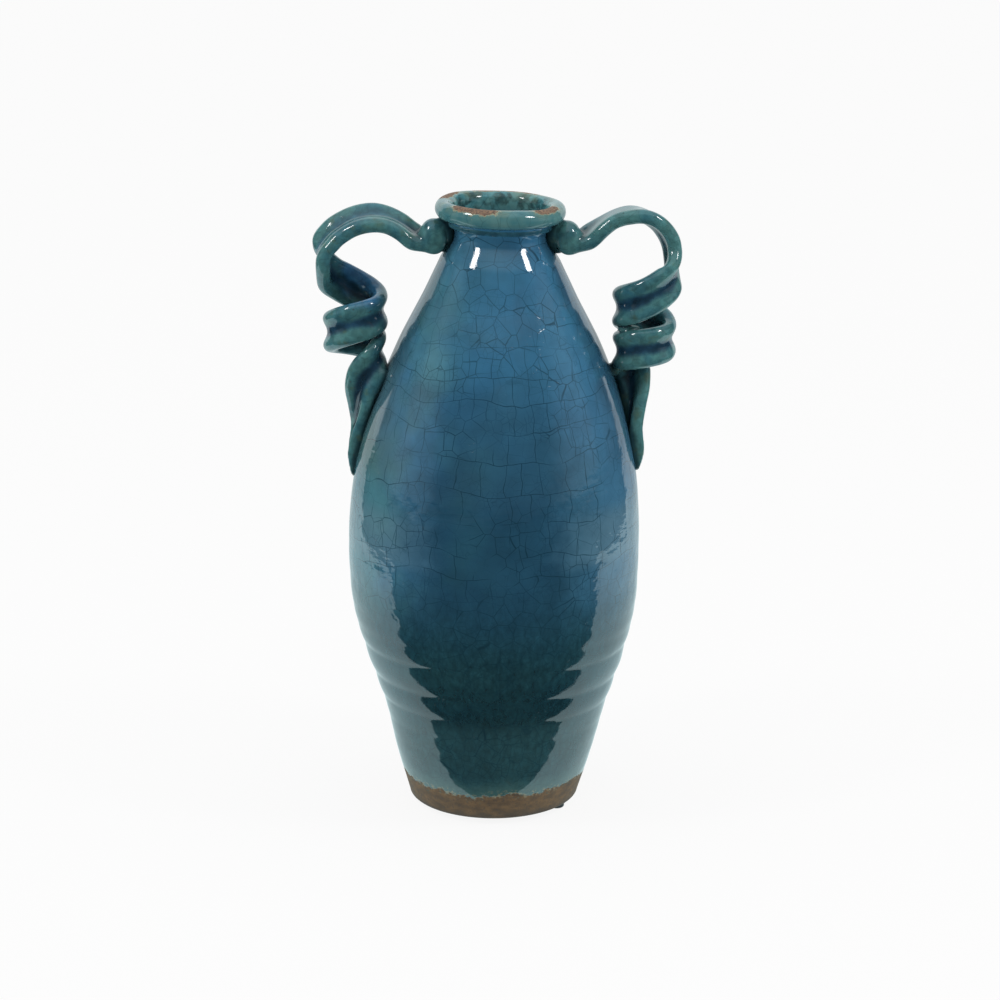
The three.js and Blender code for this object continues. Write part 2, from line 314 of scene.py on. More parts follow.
# %% Make a mesh from rows of points
def mesh_from_rows(name, rows, ends=True):
    """rows has the shape (rows, columns, 3), in millimetres. Without ends the last row joins the first."""
    count, around = rows.shape[:2]
    vertices = rows.reshape(-1, 3)
    last = count - 1 if ends else count
    i, j = np.meshgrid(np.arange(last), np.arange(around), indexing="ij")
    here = (i * around + j).ravel()
    beside = (i * around + (j + 1) % around).ravel()
    above = ((i + 1) % count * around + j).ravel()
    across = ((i + 1) % count * around + (j + 1) % around).ravel()
    faces = np.column_stack([here, beside, across, above]).tolist()
    if ends:
        vertices = np.vstack([vertices, rows[0].mean(0), rows[-1].mean(0)])
        first_tip, last_tip = len(vertices) - 2, len(vertices) - 1
        top = (count - 1) * around
        for j in range(around):
            k = (j + 1) % around
            faces.append([k, j, first_tip])
            faces.append([top + j, top + k, last_tip])
    mesh = bpy.data.meshes.new(name)
    mesh.from_pydata((vertices * MM).tolist(), [], faces)
    mesh.update()
    mesh.shade_smooth()
    piece = bpy.data.objects.new(name, mesh)
    scene.collection.objects.link(piece)
    return piece


def keep_value(piece, name, values):
    """Stores one number per vertex, for a material to read."""
    attribute = piece.data.attributes.new(name, "FLOAT", "POINT")
    attribute.data.foreach_set("value", np.asarray(values, np.float32))


def hand_over(piece, body_slot, *nodes):
    """Fixes a finished piece to the frame in place of its CAD nodes."""
    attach(piece, "root")
    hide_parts(*nodes)
    print(piece.name, "has", len(piece.data.polygons), "faces and stands for", ", ".join(nodes))


# %% [markdown]
# ## The pot's measurements
#
# These are the CAD model's own sizes, in millimetres. The outline is a list of shares of the way from
# foot to belly and from belly to neck. The pot is not plumb either: its middle wanders by a few
# millimetres on the way up, and the rim tips down to the right.

# %% Sizes of the pot
HEIGHT = 430
FOOT_RADIUS, FOOT_EDGE, PAD_HEIGHT = 60, 2.5, 4
BELLY_RADIUS, BELLY_HEIGHT = 101.1, 180
NECK_RADIUS, NECK_HEIGHT, NECK_FLARE = 34, 405, 4.3
WALL, FLOOR = 6.5, 9
LIP_ROLL, CREST_RADIUS = 12.5, 37.9
LIP_SEAT = HEIGHT - LIP_ROLL
LIP_OUTER = CREST_RADIUS + LIP_ROLL / 2
MOUTH_RADIUS = CREST_RADIUS - LIP_ROLL / 2

LOWER_WALL = [(0, 0), (0.235, 0.19), (0.44, 0.39), (0.715, 0.59), (0.94, 0.795), (1, 1)]
UPPER_WALL = [
    (0.01, 0.155), (0.077, 0.31), (0.23, 0.49), (0.457, 0.667), (0.72, 0.822), (0.93, 0.955), (1, 1),
]
DRIFT_HEIGHTS = np.array([0, 0.1, 0.2, 0.32, 0.42, 0.55, 0.74, 0.84, 1]) * HEIGHT
DRIFT = [0, 0.9, 1.7, 0.9, 0.3, 1.3, 4.2, 4.8, 4.8]
LIP_TIP = 0.04

drift_line = smooth_curve(np.column_stack([DRIFT_HEIGHTS, DRIFT]), 400)


def lean(height):
    """How far the pot's middle has moved to the right at this height."""
    return np.interp(height, drift_line[:, 0], drift_line[:, 1])


def settle(points):
    """Takes points measured from a plumb pot to where they are on the real one."""
    x, y, z = points[..., 0], points[..., 1], points[..., 2]
    tip = LIP_TIP * np.maximum(0, z - BELLY_HEIGHT) / (HEIGHT - BELLY_HEIGHT)
    return np.stack([x + lean(z) + foot_centre, y, z - x * tip], axis=-1)


print("At the neck the pot leans", round(float(lean(NECK_HEIGHT)), 1), "mm to the right")

# %% The wall's outline
foot_top = PAD_HEIGHT + FOOT_EDGE
outline = [(FOOT_RADIUS + (BELLY_RADIUS - FOOT_RADIUS) * out, foot_top + (BELLY_HEIGHT - foot_top) * rise)
           for out, rise in LOWER_WALL]
outline += [(BELLY_RADIUS + (NECK_RADIUS - BELLY_RADIUS) * into,
             BELLY_HEIGHT + (NECK_HEIGHT - BELLY_HEIGHT) * rise) for into, rise in UPPER_WALL]
outline += [(NECK_RADIUS + NECK_FLARE / 4, NECK_HEIGHT + (LIP_SEAT - NECK_HEIGHT) * 2 / 3),
            (NECK_RADIUS + NECK_FLARE, LIP_SEAT)]
wall_line = smooth_curve(outline, 1200, even_knots=True)


def wall_radius(height):
    return np.interp(height, wall_line[:, 1], wall_line[:, 0])


print("Belly radius", round(wall_line[:, 0].max(), 1), "mm, neck", round(wall_radius(NECK_HEIGHT), 1), "mm")

# %% [markdown]
# ## The thrown vessel
#
# A lathe would give a perfect shell. Here the outline is turned by hand instead: each row of the grid is
# a circle. The profile runs from the middle of the underside, round the foot, up the wall, over the seat
# of the lip, down the inside and back to the middle of the floor. Its rows lie closer together low down,
# where the throwing rings are sharp.

# %% Turn the vessel
def turned(profile, around):
    """A grid of circles from a profile of (radius, height)."""
    angle = np.linspace(0, 2 * math.pi, around, endpoint=False)
    radius, height = profile[:, :1], profile[:, 1:]
    return np.stack([radius * np.cos(angle), radius * np.sin(angle), height + 0 * angle], axis=-1)


def arc(x, y, radius, from_degrees, to_degrees, steps):
    angle = np.radians(np.linspace(from_degrees, to_degrees, steps + 1))
    return np.column_stack([x + radius * np.cos(angle), y + radius * np.sin(angle)])


AROUND = 224
RINGED_HEIGHT, RINGED_STEP, PLAIN_STEP = 125, 1.0, 1.8
MIDDLE_HOLE, FOOT_MIDWAY, INNER_CORNER = 0.5, 30, 5

ringed = wall_line[wall_line[:, 1] <= RINGED_HEIGHT]
plain = wall_line[wall_line[:, 1] >= RINGED_HEIGHT]
outside = np.vstack([evenly(ringed, RINGED_STEP), evenly(plain, PLAIN_STEP)])
inward = np.gradient(outside, axis=0)
inward /= np.linalg.norm(inward, axis=1)[:, None]
inside = outside + np.column_stack([-inward[:, 1], inward[:, 0]]) * WALL
floor_height = PAD_HEIGHT + FLOOR
inside = inside[(inside[:, 1] > floor_height + WALL) & (inside[:, 1] < LIP_SEAT - 3)][::-4]
underside = np.vstack([
    [[MIDDLE_HOLE, PAD_HEIGHT], [FOOT_MIDWAY, PAD_HEIGHT], [FOOT_RADIUS - FOOT_EDGE - 1, PAD_HEIGHT]],
    arc(FOOT_RADIUS - FOOT_EDGE, foot_top, FOOT_EDGE, -90, -6, 5),
])
profile = np.vstack([
    underside,
    outside,
    [[MOUTH_RADIUS + 1, LIP_SEAT], [MOUTH_RADIUS - 1, LIP_SEAT - 1.5]],
    inside,
    arc(FOOT_RADIUS - WALL - INNER_CORNER, floor_height + INNER_CORNER, INNER_CORNER, 0, -90, 4),
    [[FOOT_MIDWAY, floor_height], [MIDDLE_HOLE, floor_height]],
])
shell = turned(profile, AROUND)
wall_start, wall_end = len(underside), len(underside) + len(outside)
print("The profile has", len(profile), "rows of", AROUND, "points,", wall_end - wall_start, "of them outside")

# %% [markdown]
# The potter's fingers leave rings in the wall, strongest under the belly where the clay is thick. Each
# ring swells most a little below its middle and meets the next one in a crease. That small lack of
# balance matters: the edge of a reflection slides out along the swell and jumps back at the crease, which
# gives the saw teeth in the pale bands. The rings climb and dip on their way round the pot.
#
# Broad dents lie over the rings. The angle round the pot jumps where its range ends, on the left, so the
# dents that follow it fade out there, and others that follow its cosine take over.

# %% Leave the throwing rings in it
RING_EDGES = [24, 36, 50, 63, 78.5, 97, 120, 134, 147, 168, 190, 212]
RING_SWELLS = [0.05, 0.08, 0.14, 0.32, 1.0, 1.12, 0.50, 0.32, 0.32, 0.22, 0.08]
MEAN_RADIUS = 85
NECK_SQUEEZE = 2.3

angle = np.arctan2(shell[..., 1], shell[..., 0])
height = shell[..., 2]
round_foot, round_body = angle * FOOT_RADIUS, angle * MEAN_RADIUS
climb = height + 2.5 * np.sin(angle + 0.6) + 1.2 * ripple(round_foot, 0 * angle, 120, 9)
low = fade(height, 170, 60)
rings = 0.08 * ripple(climb, 0 * climb, 24, 3) + (0.02 + 0.05 * low) * ripple(climb, round_foot, 9, 4)
for bottom, top, swell in zip(RING_EDGES[:-1], RING_EDGES[1:], RING_SWELLS):
    share = fade(climb, bottom, top)
    within = (climb > bottom) & (climb <= top)
    rings += swell * (3.91 * share**0.85 * (1 - share) ** 1.15 - 0.5 * within)
for _ in range(2):
    rings[1:-1] = 0.25 * rings[:-2] + 0.5 * rings[1:-1] + 0.25 * rings[2:]
print("The rings stand", round(float(np.abs(rings).max()), 2), "mm proud at most")

# %% Dent the wall and squeeze the neck
seam_free = np.cos(angle / 2) ** 2
dents = 0.22 * ripple(round_body, height, 48, 5) + 0.05 * ripple(round_body, height, 17, 6)
dents = dents * seam_free + 0.22 * ripple(90 * np.cos(angle), height, 50, 7) * (1 - seam_free)
dents = dents * (1 - 0.6 * fade(height, 310, 340))
push = (rings + dents) * fade(height, 9, 23) * fade(height, 398, 378)
push = push - NECK_SQUEEZE * fade(height, 390, 405) * fade(height, LIP_SEAT - 2, LIP_SEAT - 8)
foot_edge = 0.35 * ripple(round_foot, 0 * angle, 40, 8) * seam_free * fade(height, 16, 6)
radius = np.hypot(shell[..., 0], shell[..., 1])
radius[wall_start:wall_end] += (push + foot_edge)[wall_start:wall_end]
shell = np.stack([radius * np.cos(angle), radius * np.sin(angle), height], axis=-1)

thrown_vessel = mesh_from_rows("thrown_vessel", settle(shell))
hand_over(thrown_vessel, "body_glaze", "vessel_body")
past_lip = np.arange(len(profile)) > wall_end + 1
keep_value(thrown_vessel, "inside", np.concatenate([np.repeat(past_lip, AROUND), [0, 1]]))

# %% [markdown]
# ## The lip
#
# The lip is a coil of clay rolled on to the neck and smoothed down, so underneath it runs into the neck
# in a soft hollow and ends in a faint raised line. A closed profile turned once round makes it. The
# potter's hands leave it a little thick here and thin there.

# %% Roll the lip
COLLAR = LIP_SEAT - 5
roll = LIP_ROLL / 2
roll_height = LIP_SEAT + roll
neck_there = float(wall_radius(COLLAR))
lip_profile = smooth_curve([
    (MOUTH_RADIUS - 0.4, COLLAR + 1), (neck_there - 2, COLLAR - 0.6), (neck_there + 0.5, COLLAR - 0.3),
    (neck_there + 1.0, COLLAR + 0.7), (neck_there + 1.1, COLLAR + 2.2), (neck_there + 2.4, COLLAR + 4.2),
    (CREST_RADIUS + roll * 0.62, LIP_SEAT + 0.9), (CREST_RADIUS + roll * 0.92, LIP_SEAT + 3.4),
    (LIP_OUTER, roll_height), (CREST_RADIUS + roll * 0.87, roll_height + roll * 0.5),
    (CREST_RADIUS + roll * 0.5, roll_height + roll * 0.87), (CREST_RADIUS, HEIGHT),
    (CREST_RADIUS - roll * 0.5, roll_height + roll * 0.87),
    (CREST_RADIUS - roll * 0.87, roll_height + roll * 0.5), (MOUTH_RADIUS, roll_height),
    (MOUTH_RADIUS - 0.2, LIP_SEAT + 1), (MOUTH_RADIUS - 0.4, COLLAR + 1),
], 320)
lip_profile = evenly(lip_profile, 0.7)[:-1]
lip_rows = turned(lip_profile, AROUND)
angle = np.arctan2(lip_rows[..., 1], lip_rows[..., 0])
radius = np.hypot(lip_rows[..., 0], lip_rows[..., 1])
height = lip_rows[..., 2]
share_up = fade(height, COLLAR + 3, COLLAR + 3 + LIP_ROLL)
uneven = 0.35 * np.sin(2 * angle + 1.0) + 0.25 * np.sin(3 * angle + 2.2) + 0.12 * np.sin(7 * angle)
radius = radius + share_up * uneven
height = height + share_up * (0.3 * np.sin(3 * angle + 0.5) + 0.2 * np.sin(5 * angle + 1.5))
lip_rows = np.stack([radius * np.cos(angle), radius * np.sin(angle), height], axis=-1)
rolled_lip = mesh_from_rows("rolled_lip", settle(lip_rows), ends=False)
hand_over(rolled_lip, "lip_glaze", "lip_ring")

# How far a point is round the roll: 1 on the crest, 0 at the side and below.
keep_value(rolled_lip, "crest", fade(height, roll_height, HEIGHT).reshape(-1))

# %% [markdown]
# ## The strap handles
#
# Each handle is a strap pulled from a lump of wet clay. Pulling leaves it thick along both edges and thin
# between them. It is pressed on under the lip, folds back on itself, arches out and up, and then coils
# once and a half round on its way down to the shoulder, where the end is smeared on.
#
# A bevelled curve would do for a round handle, but it gives no say over how a flat strap twists. So the
# strap is swept by hand: a list of stations gives its middle, the direction of its first edge and its
# size, and a section is laid across the line at every millimetre.

# %% The strap's section
BEAD, SPACING, WEB = 10, 17.5, 4.6
FOLD_GAP = -0.8
COIL_RADIUS, COIL_CLOSING, WRAP_GAP = 17.7, 0.2, 1
WRAP = SPACING + BEAD + WRAP_GAP


def strap_section(points_round):
    """Points (across, through) round the strap, and how deep in the hollow between the edges each one is."""
    half, bead = SPACING / 2, BEAD / 2
    across = np.linspace(-half - bead, half + bead, 600)
    beyond = np.clip(np.abs(across) - half, 0, bead)
    rise = 0.5 - 0.5 * np.cos(math.pi * np.clip(np.abs(across) / half, 0, 1))
    valley = WEB / 2 + (bead - WEB / 2) * rise**1.15
    thickness = np.where(np.abs(across) > half, np.sqrt(np.maximum(bead**2 - beyond**2, 0)), valley)
    ring = np.vstack([np.column_stack([across, thickness]), np.column_stack([across, -thickness])[::-1]])
    ring = evenly(np.vstack([ring, ring[:1]]), 0.05)
    ring = ring[np.linspace(0, len(ring) - 1, points_round + 1).astype(int)[:-1]]
    hollow = np.clip(1 - np.abs(ring[:, 0]) / (half * 0.8), 0, 1)
    return ring, hollow


section, section_hollow = strap_section(56)
plain_section = section.copy()
between = np.abs(section[:, 0]) < SPACING / 2
plain_section[between, 1] = np.sign(section[between, 1]) * BEAD / 2
print("The section has", len(section), "points")

# %% Where each strap goes
FRONT, UP = (0, -1, 0), (0, 0, 1)


def root_stations(clear, drop, across):
    """The pressed-on end and the fold at the bottom of it."""
    out, low, fold = LIP_OUTER + clear, HEIGHT - drop, BEAD / 2 + FOLD_GAP
    stations = [
        ((out - 1, 0, LIP_SEAT - 1.5), across, (0.5, 0.7)),
        ((out - 1.4, 0, LIP_SEAT - 5), across, (0.85, 0.95)),
        ((out - 0.7 * fold, 0, low + 2 * fold), FRONT, (1, 1)),
    ]
    bend = arc(out, low + fold, fold, 180, 315, 3)
    return stations + [((x, 0, z), FRONT, (1, 1)) for x, z in bend]


def arch_stations(arch, start, end):
    return [((start + (end - start) * share, back, HEIGHT - drop), across, (1, 1, fill))
            for share, back, drop, across, fill in arch]


def coil_stations(axis, flare, drop, falls):
    """A turn and a half, clockwise from above, starting on the outer side."""
    fall = smooth_curve(np.column_stack([np.arange(len(falls)), falls]), 200, even_knots=True)
    stations = []
    for i in range(1, 3 * (len(falls) - 1) + 1):
        quarter = i / 3
        angle = quarter * math.pi / 2
        radius = COIL_RADIUS - COIL_CLOSING * quarter + flare * max(0, 1 - quarter / 2) ** 2
        height = HEIGHT - drop - WRAP * float(np.interp(quarter, fall[:, 0], fall[:, 1]))
        stations.append(((axis + radius * math.cos(angle), -radius * math.sin(angle), height), UP, (1, 1)))
    return stations


def tail_stations(tail, coil_end):
    return [((float(wall_radius(coil_end - below)) + proud, back, coil_end - below), across, size)
            for proud, back, below, across, size in tail]


RIGHT = {
    "root": dict(clear=2.8, drop=31.5, across=(-0.25, -0.97, 0)),
    "arch": [
        (0.18, 0, 25, (0, -0.95, -0.3), 0.5), (0.31, 0, 18, (0, -0.97, -0.1), 0.9),
        (0.425, 0, 12.7, FRONT, 1), (0.55, 0, 10, FRONT, 1), (0.68, 0, 10.3, (0.1, -1, 0.1), 0.9),
        (0.81, 0, 14.5, (0.25, -0.95, 0.1), 0.5), (0.91, 1.5, 22.5, (0.3, -0.95, 0), 0.2),
        (0.97, 2.5, 34, (0.15, -1, 0.1), 0),
    ],
    "coil": dict(flare=2.5, drop=46, falls=[0, 0.61, 0.98, 1.33, 1.72, 1.84, 2.035]),
    "stand": 9,
    "tail": [
        (10.8, 12.5, 9, (0.35, 0.1, 0.9), (1, 1)), (12.3, 12.5, 18.5, (0.6, -0.1, 0.78), (1, 1)),
        (10.5, 8.5, 28, (0.75, -0.35, 0.5), (0.9, 1)), (7, 3.5, 40, (0.6, -0.75, 0.2), (0.75, 1)),
        (3.8, 0, 55, (0.2, -1, 0), (0.6, 1)), (3, 0, 71, FRONT, (0.45, 0.95)),
        (-0.8, 0, 86, FRONT, (0.25, 0.5)),
    ],
}
LEFT = {
    "root": dict(clear=1, drop=30.8, across=(0.3, -0.95, 0)),
    "arch": [
        (0.19, 0, 24.2, (0, -0.93, 0.37), 0.3), (0.295, 0, 18, (0, -0.93, 0.37), 0.3),
        (0.41, 0, 13.5, (0, -0.93, 0.37), 0.35), (0.535, 0, 11.7, (0, -0.9, 0.42), 0.35),
        (0.67, 0, 13, (0.05, -0.9, 0.44), 0.35), (0.8, 0, 17, (0.1, -0.88, 0.47), 0.3),
        (0.925, 2, 23.7, (0.15, -0.86, 0.5), 0.3), (1.01, 3.5, 34, (0.15, -0.83, 0.53), 0.1),
    ],
    "coil": dict(flare=3.5, drop=46, falls=[0, 0.685, 1.035, 1.23, 1.58, 1.825, 2.02]),
    "stand": 9.4,
    "tail": [
        (10, 12.5, 6.5, (0.35, 0.1, 0.9), (1, 1)), (12.5, 12.5, 16, (0.6, -0.1, 0.78), (1, 1)),
        (11.8, 8.5, 26.5, (0.75, -0.35, 0.5), (0.9, 1)), (7.8, 3.5, 40.5, (0.6, -0.75, 0.2), (0.75, 1)),
        (4.3, 0, 55.5, (0.2, -1, 0), (0.6, 1)), (2.8, 0, 72.5, FRONT, (0.45, 0.95)),
        (-1, 0, 90.5, FRONT, (0.25, 0.5)),
    ],
}


def strap_stations(plan):
    coil = plan["coil"]
    coil_end = HEIGHT - coil["drop"] - coil["falls"][-1] * WRAP
    axis = float(wall_radius(coil_end)) + plan["stand"] + COIL_RADIUS
    start = LIP_OUTER + plan["root"]["clear"]
    return (
        root_stations(**plan["root"])
        + arch_stations(plan["arch"], start, axis + COIL_RADIUS + coil["flare"])
        + coil_stations(axis, **coil)
        + tail_stations(plan["tail"], coil_end)
    )


print("The right strap has", len(strap_stations(RIGHT)), "stations, the left one", len(strap_stations(LEFT)))

# %% Sweep a strap
ROW_STEP = 0.9


def sweep_strap(plan, side, seed):
    """Rows of points along the strap, the hollow's depth at each, and the strap's length in millimetres.

    side is 1 for the right and -1 for the left.
    """
    columns = np.array([
        [*at, *across, *size, *[0] * (3 - len(size))] for at, across, size in strap_stations(plan)
    ], float)
    columns[:, 0] = side * columns[:, 0] + lean(columns[:, 2]) + foot_centre
    columns[:, 1] *= side
    columns[:, 3] *= side
    columns[:, 4] *= side
    line, rest = smooth_curve(columns[:, :3], 900), smooth_curve(columns[:, 3:], 900)
    steps = np.concatenate([[0], np.cumsum(np.linalg.norm(np.diff(line, axis=0), axis=1))])
    run = np.linspace(0, steps[-1], int(steps[-1] / ROW_STEP))
    path = np.column_stack([np.interp(run, steps, c) for c in np.hstack([line, rest]).T])
    window = np.hanning(9)
    window /= window.sum()
    path = np.column_stack([np.convolve(np.pad(c, 4, mode="edge"), window, "valid") for c in path.T])
    middle, across, width, thick, fill = path[:, :3], path[:, 3:6], path[:, 6], path[:, 7], path[:, 8]
    tangent = np.gradient(middle, axis=0)
    tangent /= np.linalg.norm(tangent, axis=1)[:, None]
    across = across - (across * tangent).sum(1)[:, None] * tangent
    across /= np.linalg.norm(across, axis=1)[:, None]
    through = np.cross(tangent, across)
    from_end = np.minimum(run, run[-1] - run)
    closing = np.sqrt(1 - fade(from_end, 4, 0) ** 2) * 0.97 + 0.03
    pulled = 1 + 0.035 * ripple(run, 0 * run, 38, seed)
    width, thick = (width * closing * pulled)[:, None, None], (thick * closing * pulled)[:, None, None]
    fill = np.clip(fill, 0, 1)[:, None, None]
    depth = section[None, :, 1:] * (1 - fill) + plain_section[None, :, 1:] * fill
    rows = (
        middle[:, None, :]
        + across[:, None, :] * width * section[None, :, :1]
        + through[:, None, :] * thick * depth
    )
    hollow = np.broadcast_to(section_hollow, rows.shape[:2]) * (1 - fill[:, 0])
    return rows, hollow.reshape(-1), run[-1]


print("Sections are laid every", ROW_STEP, "mm along a strap")

# %% [markdown]
# Where the strap folds on itself the swept skin runs through itself. Remeshing it in small voxels joins
# such places into one skin, and a little smoothing leaves the soft crease that wet clay and glaze have.
# Remeshing also loses the stored hollows, so each new point takes its value from the nearest old one.
#
# Where a strap is pressed on or touches itself, spare clay fills the gap. Small lumps added before the
# remesh stand for it. The folded root then gets many more rounds of smoothing than the rest, which blend
# the lumps and the fold into one knuckle, as a wet thumb does.

# %% Lumps of pressed clay
# Each is x, y, z, half width, half depth and half height, in millimetres from the foot's middle.
RIGHT_LUMPS = [
    (51, -3.5, 405.5, 9.5, 11, 12), (44, 0, 406, 9.5, 9, 12.5),
    (80.5, 4, 311, 6.5, 6, 5), (93, -8, 343, 8, 6, 3.2),
]
LEFT_LUMPS = [(-41, -3.5, 407, 9.5, 11, 12), (-34, 0, 407, 8.5, 9, 12.5)]


def lumps(name, places):
    """A squashed ball for each place in the list."""
    angle = np.linspace(0, math.pi, 17)[1:-1]
    ball = turned(np.column_stack([np.sin(angle), -np.cos(angle)]), 24)
    parts = []
    for x, y, z, *half in places:
        parts.append(mesh_from_rows(name, ball * np.array(half) + np.array([x + foot_centre, y, z])))
    return parts


print(len(RIGHT_LUMPS), "lumps fill gaps on the right, and", len(LEFT_LUMPS), "on the left")

# %% Where clay meets clay
def off_wall(points):
    """How far points stand off the pot's wall, in millimetres."""
    middle = foot_centre + lean(points[:, 2])
    return np.hypot(points[:, 0] - middle, points[:, 1]) - wall_radius(points[:, 2])


lip_side = np.array([[foot_centre + lean(LIP_SEAT) + LIP_OUTER, 0, LIP_SEAT]])
print("The side of the lip stands", round(float(off_wall(lip_side)[0]), 1), "mm off the neck")

# %% Find the creases
CREASE_ROUNDS, THUMB_ROUNDS = 24, 80


def smoothed(mesh, rounds):
    """The points of a mesh, and the same points after so many rounds of moving towards their neighbours."""
    start = np.empty(len(mesh.vertices) * 3)
    mesh.vertices.foreach_get("co", start)
    start = start.reshape(-1, 3)
    pairs = np.empty(len(mesh.edges) * 2, int)
    mesh.edges.foreach_get("vertices", pairs)
    a, b = pairs.reshape(-1, 2).T
    both, other = np.concatenate([a, b]), np.concatenate([b, a])
    neighbours = np.maximum(np.bincount(both, minlength=len(start)), 1)[:, None]
    smooth = start.copy()
    for _ in range(rounds):
        total = np.column_stack([np.bincount(both, smooth[other, k], len(start)) for k in range(3)])
        smooth = 0.4 * smooth + 0.6 * total / neighbours
    return start, smooth


def creases(mesh):
    """How far each point lies below (+) or above (-) the same skin smoothed over a few millimetres, in mm."""
    start, smooth = smoothed(mesh, CREASE_ROUNDS)
    normal = np.empty(len(mesh.vertices) * 3, np.float32)
    mesh.vertex_normals.foreach_get("vector", normal)
    return ((smooth - start) * normal.reshape(-1, 3)).sum(1) / MM


def thumb_smooth(mesh, spot, reach):
    """Smooths the skin near one spot, both in millimetres, as a wet thumb does."""
    start, smooth = smoothed(mesh, THUMB_ROUNDS)
    away = np.linalg.norm(start / MM - np.array(spot), axis=1)
    weight = fade(away, 1.6 * reach, 0.6 * reach)[:, None]
    mesh.vertices.foreach_set("co", (start + (smooth - start) * weight).ravel())
    mesh.update()


print("The deepest hollow of the lip is", round(float(creases(rolled_lip.data).max()), 2), "mm")

# %% Join the folds and smooth the skin
VOXEL, RELAX_ROUNDS, KNUCKLE_REACH = 0.75, 7, 11


def merge_folds(piece, values, added, knuckle):
    """Joins the added lumps and the strap into one skin. values are the hollows, which it keeps."""
    before = np.empty(len(piece.data.vertices) * 3)
    piece.data.vertices.foreach_get("co", before)
    before = before.reshape(-1, 3)
    tree = KDTree(len(values))
    for i, point in enumerate(before[:len(values)]):
        tree.insert(point, i)
    tree.balance()
    together = bmesh.new()
    together.from_mesh(piece.data)
    for lump in added:
        together.from_mesh(lump.data)
        bpy.data.objects.remove(lump)
    together.to_mesh(piece.data)
    together.free()
    remesh = piece.modifiers.new("join", "REMESH")
    remesh.mode = "VOXEL"
    remesh.voxel_size = VOXEL * MM
    remesh.use_smooth_shade = True
    relax = piece.modifiers.new("relax", "SMOOTH")
    relax.factor = 0.5
    relax.iterations = RELAX_ROUNDS
    skin = bpy.data.meshes.new_from_object(piece.evaluated_get(bpy.context.evaluated_depsgraph_get()))
    piece.modifiers.clear()
    piece.data = skin
    skin.shade_smooth()
    thumb_smooth(skin, knuckle, KNUCKLE_REACH)
    after = np.empty(len(skin.vertices) * 3)
    skin.vertices.foreach_get("co", after)
    found = [values[tree.find(point)[1]] for point in after.reshape(-1, 3)]
    keep_value(piece, "hollow", found)
    keep_value(piece, "crease", creases(skin))
    keep_value(piece, "off_wall", off_wall(after.reshape(-1, 3) / MM))
    print(piece.name, "went from", len(values), "points to", len(found))


# %% Make both handles
for name, plan, side, node, seed, places in (
    ("strap_right", RIGHT, 1, "handle_right", 11, RIGHT_LUMPS),
    ("strap_left", LEFT, -1, "handle_left", 12, LEFT_LUMPS),
):
    rows, hollow, length = sweep_strap(plan, side, seed)
    strap = mesh_from_rows(name, rows)
    knuckle = np.array(places[0][:3]) + np.array([foot_centre + side * 2, 0, 1])
    merge_folds(strap, hollow, lumps("lump", places), knuckle)
    hand_over(strap, "handle_glaze", node)
    print(name, "was pulled", round(length), "mm long")
strap_right, strap_left = bpy.data.objects["strap_right"], bpy.data.objects["strap_left"]

# %% Tell the wall where the straps lie
# The wall stores the same thing the other way round: how near each of its points is to a strap.
NEAR = 12
near_wall = []
for strap in (strap_right, strap_left):
    stands_off = strap.data.attributes["off_wall"].data
    near_wall += [v.co for v, off in zip(strap.data.vertices, stands_off) if off.value < NEAR]
touching = KDTree(len(near_wall))
for i, point in enumerate(near_wall):
    touching.insert(point, i)
touching.balance()
keep_value(thrown_vessel, "from_strap", [touching.find(v.co)[2] / MM for v in thrown_vessel.data.vertices])
print(len(near_wall), "points of the straps lie within", NEAR, "mm of the wall")

# %% [markdown]
# ## The rubber feet
#
# Three stick-on bumpers lift the foot off the table. Each is a small turned button with a rounded edge,
# a slight dome in its sides and a shallow dish underneath, where the moulded rubber sinks as it cools.

# %% Turn the bumpers
PAD_RADIUS, PAD_EDGE, PAD_TOP_EDGE = 5.5, 1.2, 0.5
pad_profile = np.vstack([
    [[0.4, 0.25], [2.0, 0.22], [3.0, 0.1], [3.8, 0.0]],
    arc(PAD_RADIUS - PAD_EDGE, PAD_EDGE, PAD_EDGE, -80, 0, 6),
    [[PAD_RADIUS + 0.05, 2.2], [PAD_RADIUS, 3.2]],
    arc(PAD_RADIUS - PAD_TOP_EDGE, PAD_HEIGHT - PAD_TOP_EDGE, PAD_TOP_EDGE, 10, 90, 3),
    [[3, PAD_HEIGHT], [0.4, PAD_HEIGHT]],
])
bumpers = []
for node in ("foot_pad_back", "foot_pad_front_left", "foot_pad_front_right"):
    corner_low, corner_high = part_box(node)
    middle = (corner_low + corner_high) / 2 / MM
    turned_pad = turned(pad_profile, 40) + np.array([middle.x, middle.y, 0])
    bumper = mesh_from_rows(node.replace("foot_pad", "bumper"), turned_pad)
    hand_over(bumper, "pad_rubber", node)
    bumpers.append(bumper)

# %% [markdown]
# ## The glaze
#
# The real glaze is thick, clear and coloured. It looks darker and bluer where it lies thick, greener and
# paler where it is thin, and it mirrors the room. A second clear layer could lie over the colour, but a
# low roughness and the high bending power of a lead-rich glass give the same shine with one layer, and
# bare clay then only needs a high roughness. The colour comes from large soft clouds, the cracks from
# the borders between random cells: a Voronoi texture gives the distance to the nearest border, and a thin
# dark line is drawn where that distance is small. Pushing the place about first bends the lines.

# %% Cracks in the glaze
MAIN_WIDTH, FINE_WIDTH, NET_WIDTH = 0.32, 0.22, 0.26
CELL_SCATTER = 0.88


def crack_net(board, place, size, width, seed):
    """1 in a crack and 0 away from it. size and width are in millimetres."""
    moved = place + (seed * 37.0, seed * 11.0, seed * 23.0)
    values = {"Vector": moved, "Scale": 1 / size, "Randomness": CELL_SCATTER}
    border = board.add("ShaderNodeTexVoronoi", {"feature": "DISTANCE_TO_EDGE"}, values)[0]
    return (border * size).between(width, width * 0.2)


